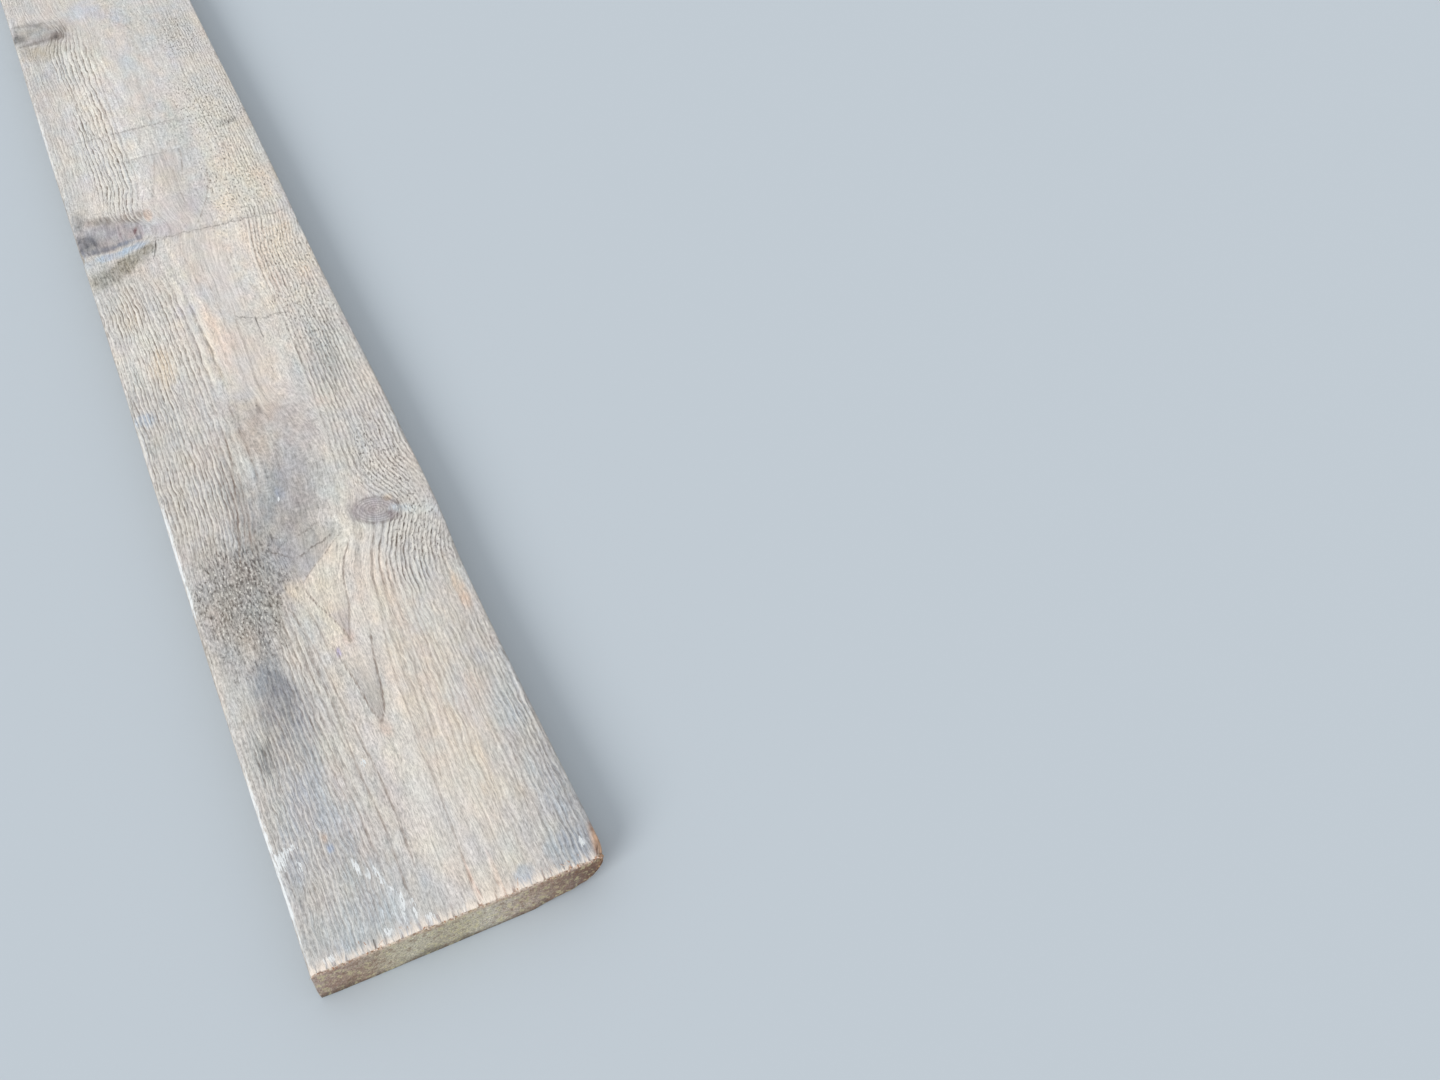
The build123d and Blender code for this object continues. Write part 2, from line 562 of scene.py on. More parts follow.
def faces_towards(face, direction):
    """The face, wound so that it looks along X in the direction given."""
    points = to_frame(along[face], across[face], deep[face])
    normal = np.cross(points[1] - points[0], points[2] - points[0])
    return face if normal[0] * direction > 0 else face[::-1]


faces = quads + [faces_towards(f, -1) for f in near_caps] + [faces_towards(f, 1) for f in far_caps]
triangle_count = 2 * len(quads) + len(near_caps) + len(far_caps)
print("points:", len(along), "triangles:", triangle_count)

# %% [markdown]
# How much of each face a point belongs to is kept as well: the worn face, the two
# long sides, the sawn underside and the ends. They blend over the rounded edges,
# so that no finish stops at a hard line.

# %% Which face a point belongs to
END_BLEND = 1.4
skin_facing = facing.reshape(-1, 2)
inside_facing = np.zeros((len(near_inside) + len(far_inside), 2))
facing_all = np.concatenate([skin_facing, inside_facing])
near_end = 1 - ease(along / END_BLEND)
far_end = 1 - ease((LENGTH - along) / END_BLEND)
is_end = np.maximum(near_end, far_end)
is_top = ease((-facing_all[:, 1] - 0.25) / 0.6) * (1 - is_end)
is_under = ease((facing_all[:, 1] - 0.4) / 0.5) * (1 - is_end)
is_side = np.clip(1 - is_top - is_under - is_end, 0, 1)

# %% [markdown]
# ## Growth rings
#
# A plank is cut from a round trunk, and every line on it is a growth ring that the
# saw met. So the rings aren't drawn on: they are worked out in space, as tubes
# round the pith, the trunk's centre. The pith runs about 80 mm below the worn face.
#
# - The distance from the pith, divided into rings, gives a ring number anywhere in
#   the plank. The face, the edges and the sawn ends all read the same number, so
#   a line on the face turns down over the end as it does in real timber.
# - Where the face dips nearer to the pith, older rings come up in its middle as
#   long pointed tongues. Near the end of this plank there are two.
# - A knot is a branch. The grain parts and flows round it.

# %% Rings in the trunk
PITH_ACROSS = 110
PITH_DEEP = 79.6
TONGUE_SHARPNESS = 17.5     # nearer to the middle than this, the tongues are pointed
MIDDLE_RINGS = [
    30.2, 32.9, 35.4, 37.8, 40.4, 42.8, 45.4, 48.2, 50.9, 53.4, 56.2, 58.8,
    61.2, 63.9, 66.4, 68.8, 71.1, 73.2, 74.85, 77.0, 80.8, 83.6, 86.2,
]
OUTER_RING_WIDTHS = [(0, 2.2), (6, 2.4), (18, 2.9), (50, 2.9)]
OUTER_RINGS = 50
outer_widths = np.interp(np.arange(OUTER_RINGS), *zip(*OUTER_RING_WIDTHS))
outer_widths = outer_widths * np.random.default_rng(11).uniform(0.82, 1.18, OUTER_RINGS)
ring_radii = np.concatenate([MIDDLE_RINGS, MIDDLE_RINGS[-1] + np.cumsum(outer_widths)])

# Each knot: along, across, half its length, half its width, lean in degrees, and
# how strongly the grain flows round it
KNOTS = {
    "round knot by the right edge": (402, 172, 15, 21, 28, 0.18),
    "branch cut lengthwise at the left edge": (908, 24, 25, 56, 13, 0.30),
    "second branch at the left edge": (1366, 12, 30, 38, 10, 0.30),
    "small eye beside it": (1354, 53, 9, 6, 0, 0.5),
    "small knot on the far half": (1836, 150, 12, 10, 20, 0.8),
}

# Where the grain wanders
DRIFTS = [
    # start, end, middle, half width, way to the right
    (400, 700, 150, 48, 12), (412, 560, 150, 30, 5), (640, 780, 112, 38, -4), (760, 850, 50, 50, -7),
    (800, 905, 185, 50, 13), (905, 1060, 185, 50, 4), (910, 1000, 65, 45, 15), (1040, 1330, 45, 38, -7),
    (930, 1060, 130, 34, 8), (1100, 1340, 120, 40, -8),
]
SWEEP_ALONG, SWEEP_AMOUNT, SWEEP_NEAR, SWEEP_FAR = 402, 24, 48, 1600
SWEEP_START, SWEEP_WIDTH = 78, 82         # across, before the knot
SPREAD_START, SPREAD_WIDTH = 60, 110      # and beyond it
SPREAD_RUN = 120


def knot_distance(knot, along, across):
    """Distance from a knot's centre, 1 at its rim, and the way across from its centre."""
    centre_along, centre_across, half_along, half_across, lean, _ = knot
    turn = math.radians(lean)
    ahead, aside = along - centre_along, across - centre_across
    short = (ahead * math.cos(turn) + aside * math.sin(turn)) / half_along
    long = (aside * math.cos(turn) - ahead * math.sin(turn)) / half_across
    return np.hypot(short, long), aside


def sweep(along, across):
    """How far the grain dives towards the right edge at the round knot."""
    share = ease((across - SWEEP_START) / SWEEP_WIDTH)
    spread = ease((across - SPREAD_START) / SPREAD_WIDTH)
    share = share + (spread - share) * ease((along - SWEEP_ALONG) / SPREAD_RUN)
    reach = np.where(along < SWEEP_ALONG, SWEEP_NEAR, SWEEP_FAR)
    return SWEEP_AMOUNT * share * hill((along - SWEEP_ALONG) / reach)


# Beyond the tongues the rings over the pith are straight, and there the fibres
# follow only a part of the rings' drift
STEADY_FROM, STEADY_RUN, STEADY_WIDTH = 470, 60, 26
FIBRE_SHIFT_KEPT, FIBRE_SHIFT_RUN = 0.35, 150


def grain_line(along, across, fibres=False):
    """Where a ring, or a fibre, would lie across the plank if it grew straight."""
    shift = sweep(along, across)
    for start, end, middle, half_width, amount in DRIFTS:
        strip = hill((across - middle) / half_width)
        shift = shift + amount * ease((along - start) / (end - start)) * strip
    if fibres:
        shift = shift * (1 - (1 - FIBRE_SHIFT_KEPT) * ease((along - STEADY_FROM) / FIBRE_SHIFT_RUN))
    place = across + 1.6 * soft_noise(along / 260, across / 110, 22) - shift
    for knot in KNOTS.values():
        distance, aside = knot_distance(knot, along, across)
        place = place - knot[5] * aside / np.maximum(distance, 1) ** 2.6
    waves = 0.9 * soft_noise(along / 58, across / 40, 21) + 0.60 * soft_noise(along / 17, across / 10, 23)
    waves = waves + 0.75 * soft_noise(along / 12, across / 4.5, 25)
    if not fibres:
        near_pith = 1 - ease(np.abs(place - PITH_ACROSS) / STEADY_WIDTH)
        waves = waves * (1 - near_pith * ease((along - STEADY_FROM) / STEADY_RUN))
    return place + waves


PITH_RISES = [
    # how far it rises, where that begins, how long it takes, how fast, where it sinks, how long that takes
    (5.2, 60, 280, 0.8, 384, 86), (4.0, 1560, 400, 1.0, 2050, 350),
]


def pith_below(along):
    """Depth of the pith under the worn face: it comes nearer where a tongue shows."""
    depth = PITH_DEEP + 0.2 * line_noise(along / 170, 24)
    for amount, start, run, haste, sink, sink_run in PITH_RISES:
        depth = depth - amount * ease((along - start) / run) ** haste * (1 - ease((along - sink) / sink_run))
    return depth


# The rings aren't quite round. Right of the pith they stand wider apart, and beyond
# the round knot they have moved in towards it. Far to the left they are pressed together.
LEFT_WIDER, RIGHT_WIDER, RIGHT_WIDER_FROM, RIGHT_WIDER_WIDTH = 0.02, 0.10, 8, 28
MOVED_IN, MOVED_IN_FROM, MOVED_IN_RUN, MOVED_IN_WIDTH = 12, 400, 70, 30
PRESSED, PRESSED_FROM, PRESSED_RUN, PRESSED_ASIDE, PRESSED_WIDTH = 0.10, 780, 300, 55, 40


def ring_number(along, across, deep):
    """Number of the growth ring at a point, with its fraction."""
    aside = grain_line(along, across) - PITH_ACROSS
    pressed = PRESSED * ease((along - PRESSED_FROM) / PRESSED_RUN)
    on_left = 1 + pressed * ease((-aside - PRESSED_ASIDE) / PRESSED_WIDTH) - LEFT_WIDER
    on_right = 1 - RIGHT_WIDER * ease((aside - RIGHT_WIDER_FROM) / RIGHT_WIDER_WIDTH)
    moved_in = MOVED_IN * ease((along - MOVED_IN_FROM) / MOVED_IN_RUN) * ease(aside / MOVED_IN_WIDTH)
    width = np.abs(aside * np.where(aside > 0, on_right, on_left) + moved_in)
    pointed = np.where(width < TONGUE_SHARPNESS, TONGUE_SHARPNESS * width, width**2)
    radius = np.sqrt(pointed + (pith_below(along) - deep) ** 2)
    return np.interp(radius, ring_radii, np.arange(len(ring_radii)))


LEAST_RING_STEP = 0.02      # rings to a millimetre

ring = ring_number(along, across, deep)
ring_step = ring_number(along, across + 0.5, deep) - ring_number(along, across - 0.5, deep)
ring_step = np.maximum(np.abs(ring_step), LEAST_RING_STEP)
print("rings met by the plank: from", round(ring.min(), 1), "to", round(ring.max(), 1))

# %% [markdown]
# The skin can't carry every ridge. Where rings lie closer than three columns, or
# run so askew that stations miss them, the ridges are left to the finish. `carried`
# is how well the mesh can hold them.

# %% What the mesh can carry
FULLY_CARRIED, CARRY_FADE = 0.26, 0.16     # rings from one point to the next

ring_grid = ring[:skin_count].reshape(station_count, column_count)
steps_along = np.abs(np.gradient(ring_grid, axis=0))
steps_across = np.abs(np.gradient(ring_grid, axis=1))
carried = 1 - ease((np.maximum(steps_along, steps_across) - FULLY_CARRIED) / CARRY_FADE)
carried = np.concatenate([carried.ravel(), np.zeros(len(along) - skin_count)])
print("share of the skin that carries ridges:", round(float(carried[:skin_count].mean()), 2))

# %% [markdown]
# A knot is read in the same way: how far a point is from its centre, with 1 at its
# rim, and the number of its own ring. The branches that were cut lengthwise show
# their rings only faintly.

# %% Rings in the knots
KNOT_RING_WIDTH = 2.6
KNOT_FORCES = (1.0, 0.22, 0.30, 0.9, 1.0)
knot_rim = np.full(len(along), 3.0)
knot_ring = np.zeros(len(along))
knot_force = np.zeros(len(along))
for knot, force in zip(KNOTS.values(), KNOT_FORCES):
    distance, _ = knot_distance(knot, along, across)
    nearer = distance < knot_rim
    knot_rim = np.where(nearer, distance, knot_rim)
    knot_ring = np.where(nearer, distance * min(knot[2], knot[3]) / KNOT_RING_WIDTH, knot_ring)
    knot_force = np.where(nearer, force, knot_force)
in_knot = 1 - ease((knot_rim - 0.9) / 0.2)
print("points in the knots:", int((knot_rim < 1).sum()))

# %% [markdown]
# ## Wear
#
# Weather takes the soft early wood and leaves the hard late wood of each ring
# standing. It does so unevenly: the left side and the stretches beyond the first
# knot are ridged, the middle of the plank is almost smooth.

# %% Where the ridges are strong
RIDGED = [
    # along, across, half along, half across, strength
    (120, 30, 160, 60, 0.40), (160, 172, 200, 50, 0.24), (140, 202, 190, 28, 0.50),
    (345, 180, 55, 50, 0.95), (235, 68, 120, 17, 0.6), (240, 145, 110, 14, 0.4), (540, 26, 170, 66, 0.85),
    (500, 195, 120, 45, 0.70), (700, 40, 140, 66, 0.95), (835, 192, 76, 46, 0.9),
    (640, 186, 120, 44, 0.80), (765, 190, 60, 40, 0.85), (1090, 58, 230, 30, 0.95),
    (1150, 16, 240, 26, 0.50), (1270, 60, 130, 30, 0.9), (1150, 195, 260, 44, 0.50),
    (1700, 40, 320, 70, 0.8), (1700, 190, 320, 55, 0.7), (2200, 110, 260, 130, 0.6),
]
LINED = [
    # along, across, half along, half across, strength
    (120, 60, 160, 20, 0.6), (230, 160, 160, 26, 0.7), (650, 98, 90, 6, 0.6), (670, 142, 60, 12, 0.5),
    (450, 60, 110, 14, 0.9), (1000, 105, 70, 14, 0.4), (1280, 80, 90, 30, 0.5), (2000, 110, 400, 60, 0.7),
]
CALM = [
    # along, across, half along, half across, strength: smooth wood without pebbles
    (222, 112, 48, 10, 0.7), (298, 112, 26, 9, 0.6), (385, 112, 36, 24, 0.5), (640, 114, 110, 22, 0.9),
    (800, 118, 120, 28, 0.9), (905, 110, 62, 32, 0.85), (1012, 118, 52, 28, 0.85), (902, 42, 42, 38, 0.8),
    (1240, 118, 120, 30, 0.7), (1380, 60, 90, 62, 0.75), (1130, 20, 200, 22, 0.6), (710, 85, 80, 14, 0.5),
    (90, 118, 70, 12, 0.35), (170, 148, 190, 34, 0.55), (200, 180, 160, 30, 0.35),
    (400, 172, 26, 24, 0.7),
]
QUIET = (240, 112, 200, 36)      # the tongues: their few lines are listed one by one
PATCH_WHOLE, PATCH_FADE = 0.45, 0.75     # in shares of its half size


def patch(along, across, place, raggedness=0.0):
    """1 in the middle of an oval patch and 0 outside it."""
    centre_along, centre_across, half_along, half_across = place[:4]
    lean = math.radians(place[4]) if len(place) > 4 else 0.0
    ahead, aside = along - centre_along, across - centre_across
    first = (ahead * math.cos(lean) + aside * math.sin(lean)) / half_along
    second = (aside * math.cos(lean) - ahead * math.sin(lean)) / half_across
    return 1 - ease((np.hypot(first, second) + raggedness - PATCH_WHOLE) / PATCH_FADE)


def strongest(places, least):
    """The strongest of some patches at each point, and no less than a given strength."""
    result = np.full(len(along), float(least))
    for *place, strength in places:
        result = np.maximum(result, strength * patch(along, across, place))
    return result


ridged = strongest(RIDGED, 0.12) * (0.82 + 0.35 * soft_noise(along / 70, across / 18, 31))
ridged = np.clip(ridged, 0, 1) * (1 - in_knot)
right_of_pith = ease((grain_line(along, across) - PITH_ACROSS) / 10)
right_of_pith = right_of_pith * ease((along - STEADY_FROM) / STEADY_RUN)
ridged = ridged * (1 - right_of_pith * (1 - ease((ring_step - 0.07) / 0.10)))
lined = strongest(LINED, 0.22) * (0.85 + 0.3 * soft_noise(along / 40, across / 12, 32)) * (1 - in_knot)
lined = lined * (1 - 0.85 * patch(along, across, QUIET))
calm = strongest(CALM, 0.0)

# %% [markdown]
# Some wear is given one by one, as a depth in millimetres. The hollow beside the cut
# branch follows the solid: a round bar laid over the corner. Each knot has a
# groove round it, and the saw has torn the top of the near end into a ragged lip.

# %% Hollows
HOLLOW_ALONG, HOLLOW_REACH, HOLLOW_WIDTH, HOLLOW_DEPTH = 881, 66, 19, 2.6
HOLLOW_SLANT = math.radians(15)
LIP_REACH, LIP_DROP, LIP_DEEP = 3.0, 2.4, 2.6
EYE_ALONG, EYE_ACROSS, EYE_DEPTH = 1354, 52, 2.2
GROOVE_DEPTH, SPLIT_DEPTH, FOOT_DEPTH = 0.55, 0.9, 0.10
CORNER_DEPTH, CRUMBLE_DEPTH, SIDE_DEPTH = 0.7, 5.0, 0.3


def knot_hollow(along, across):
    """Depth of the rounded hollow beside the cut branch."""
    radius = (HOLLOW_WIDTH**2 / 4 + HOLLOW_DEPTH**2) / (2 * HOLLOW_DEPTH)
    ahead, aside = along - HOLLOW_ALONG, across - left_edge(HOLLOW_ALONG)
    inwards = ahead * math.sin(HOLLOW_SLANT) + aside * math.cos(HOLLOW_SLANT)
    sideways = ahead * math.cos(HOLLOW_SLANT) - aside * math.sin(HOLLOW_SLANT)
    inside_bar = np.sqrt(np.maximum(radius**2 - sideways**2, 0))
    return np.maximum(HOLLOW_DEPTH * (1 - inwards / HOLLOW_REACH) - (radius - inside_bar), 0)


def torn_lip(along, across, deep):
    """Depth of wood that the saw tore out along the top of the near end."""
    jags = 0.5 + 0.45 * line_noise(across / 2.1, 41) + 0.45 * line_noise(across / 9, 42)
    reach = LIP_REACH * (0.7 + 0.6 * line_noise(across / 3.4, 43))
    return LIP_DROP * np.clip(jags, 0.08, 1) * hill(along / reach, deep / LIP_DEEP)


split_across, split_up = tear(along, SPLIT_ACROSS, SPLIT_RUN), tear(along, SPLIT_UP, SPLIT_RUN)
from_left, from_right, from_foot = across - left_edge(along), right_edge(along) - across, THICKNESS - deep
torn_corner = ease((split_across - from_right) / 6 + 0.6) * ease((split_up - from_foot + 4) / 4)
torn_corner = torn_corner * (split_across > 0.5)
splits = 0.9 + 0.6 * soft_noise(along / 16, across / 2.6, 48) + 0.5 * soft_noise(along / 7, across / 5, 49)
foot_wear = hill(along / 3.0, from_foot / 2.6) * (1 + line_noise(across / 3.5, 50))
corner_wear = hill(along / 2.5, from_left / 2.6) * (1 + line_noise(deep / 4, 58))
crumbled = hill(along / 8.0, from_right / 7.0) * (CRUMBLE_DEPTH + 1.6 * soft_noise(across / 3, deep / 4, 59))
groove = GROOVE_DEPTH * hill((knot_rim - 1.08) / 0.1) * knot_force
uneven = 0.14 * (1 + soft_noise(along / 85, across / 45, 44))
uneven = uneven + 0.10 * (1 + soft_noise(along / 30, across / 12, 45))
eye_pit = EYE_DEPTH * hill((along - EYE_ALONG) / 4.0, (across - EYE_ACROSS) / 2.6)
hollow = is_top * (groove + uneven + eye_pit) + (1 - is_end) * knot_hollow(along, across) * (deep < 6)
hollow = hollow + torn_lip(along, across, deep) + SPLIT_DEPTH * torn_corner * np.maximum(splits, 0)
hollow = hollow + FOOT_DEPTH * foot_wear + CORNER_DEPTH * corner_wear + crumbled
hollow = hollow + SIDE_DEPTH * is_side * (1 + soft_noise(along / 60, deep / 12, 46))
print("deepest wear, in millimetres:", round(float(hollow.max()), 2))

# %% [markdown]
# ## Colours of the wood
#
# Old softwood isn't one colour. It is straw beige where it is clean, pinkish in the
# heart of the tongues, blue-grey where water stood, and brown-grey where mould
# grew. Each stain is an oval with a soft, uneven edge, listed with its place, its
# lean, its colour and how strongly it covers what is under it.
#
# Colours are written as a paint chart gives them, from 0 to 255, and are changed
# to the linear values that a shader reckons with.

# %% Stains
TONGUES = [
    # upper edge and lower edge as places (along, across)
    # softness of both, where it begins and ends to fade, strength, colour
    (
        [(183, 109), (192, 106.7), (202, 104.6), (217, 103.4), (230, 102), (242, 100), (258, 98), (275, 95)],
        [(183, 109), (195, 115.5), (215, 119), (250, 123), (275, 128)],
        1.6, 1.6, 215, 268, 0.62, (178, 166, 160),
    ),
    (
        [(270, 110), (288, 107.3), (300, 103.3), (313, 98.7), (323, 95), (332, 92.7), (338, 91.7)],
        [(270, 110), (283, 113), (307, 120), (338, 124)],
        2.0, 2.0, 290, 322, 0.50, (184, 170, 168),
    ),
    (
        [(345, 66), (400, 70), (520, 84)],
        [(345, 92), (356, 100), (361, 105), (372, 117), (382, 126), (395, 134), (440, 134), (520, 118)],
        24, 5, 378, 425, 0.60, (165, 163, 164),
    ),
    (
        [(266, 110), (275, 107.5), (300, 96.5), (325, 86.5), (349, 76)],
        [(266, 110), (275, 111), (288, 106.8), (300, 102.8), (313, 98.2), (323, 94.5), (338, 91.2),
         (349, 92)],
        2.0, 1.5, 346, 358, 0.62, (232, 222, 206),
    ),
    (
        [(308, 101), (313, 98.7), (323, 95), (338, 91.7), (346, 92), (356, 100), (361, 105), (372, 118),
         (386, 132), (392, 143)],
        [(308, 120), (338, 124), (358, 130), (375, 139), (392, 146)],
        2.5, 5, 378, 396, 0.62, (226, 216, 202),
    ),
]


def linear(colour):
    """A colour of 0 to 255 in linear light."""
    value = np.array(colour, float) / 255
    return np.where(value <= 0.04045, value / 12.92, ((value + 0.055) / 1.055) ** 2.4)


def blend(base, colour, share):
    """Mix a colour into another by a share for each point."""
    return base + (colour - base) * share[:, None]


GREY, BLUE_GREY, WET_GREY = (196, 194, 191), (190, 195, 200), (163, 165, 168)
PLAIN_WOOD = (206, 201, 196)              # where no stain is
BRIGHTNESS = 1.05
FAR_BRIGHTER, BRIGHTER_FROM, BRIGHTER_RUN = 0.09, 200, 550

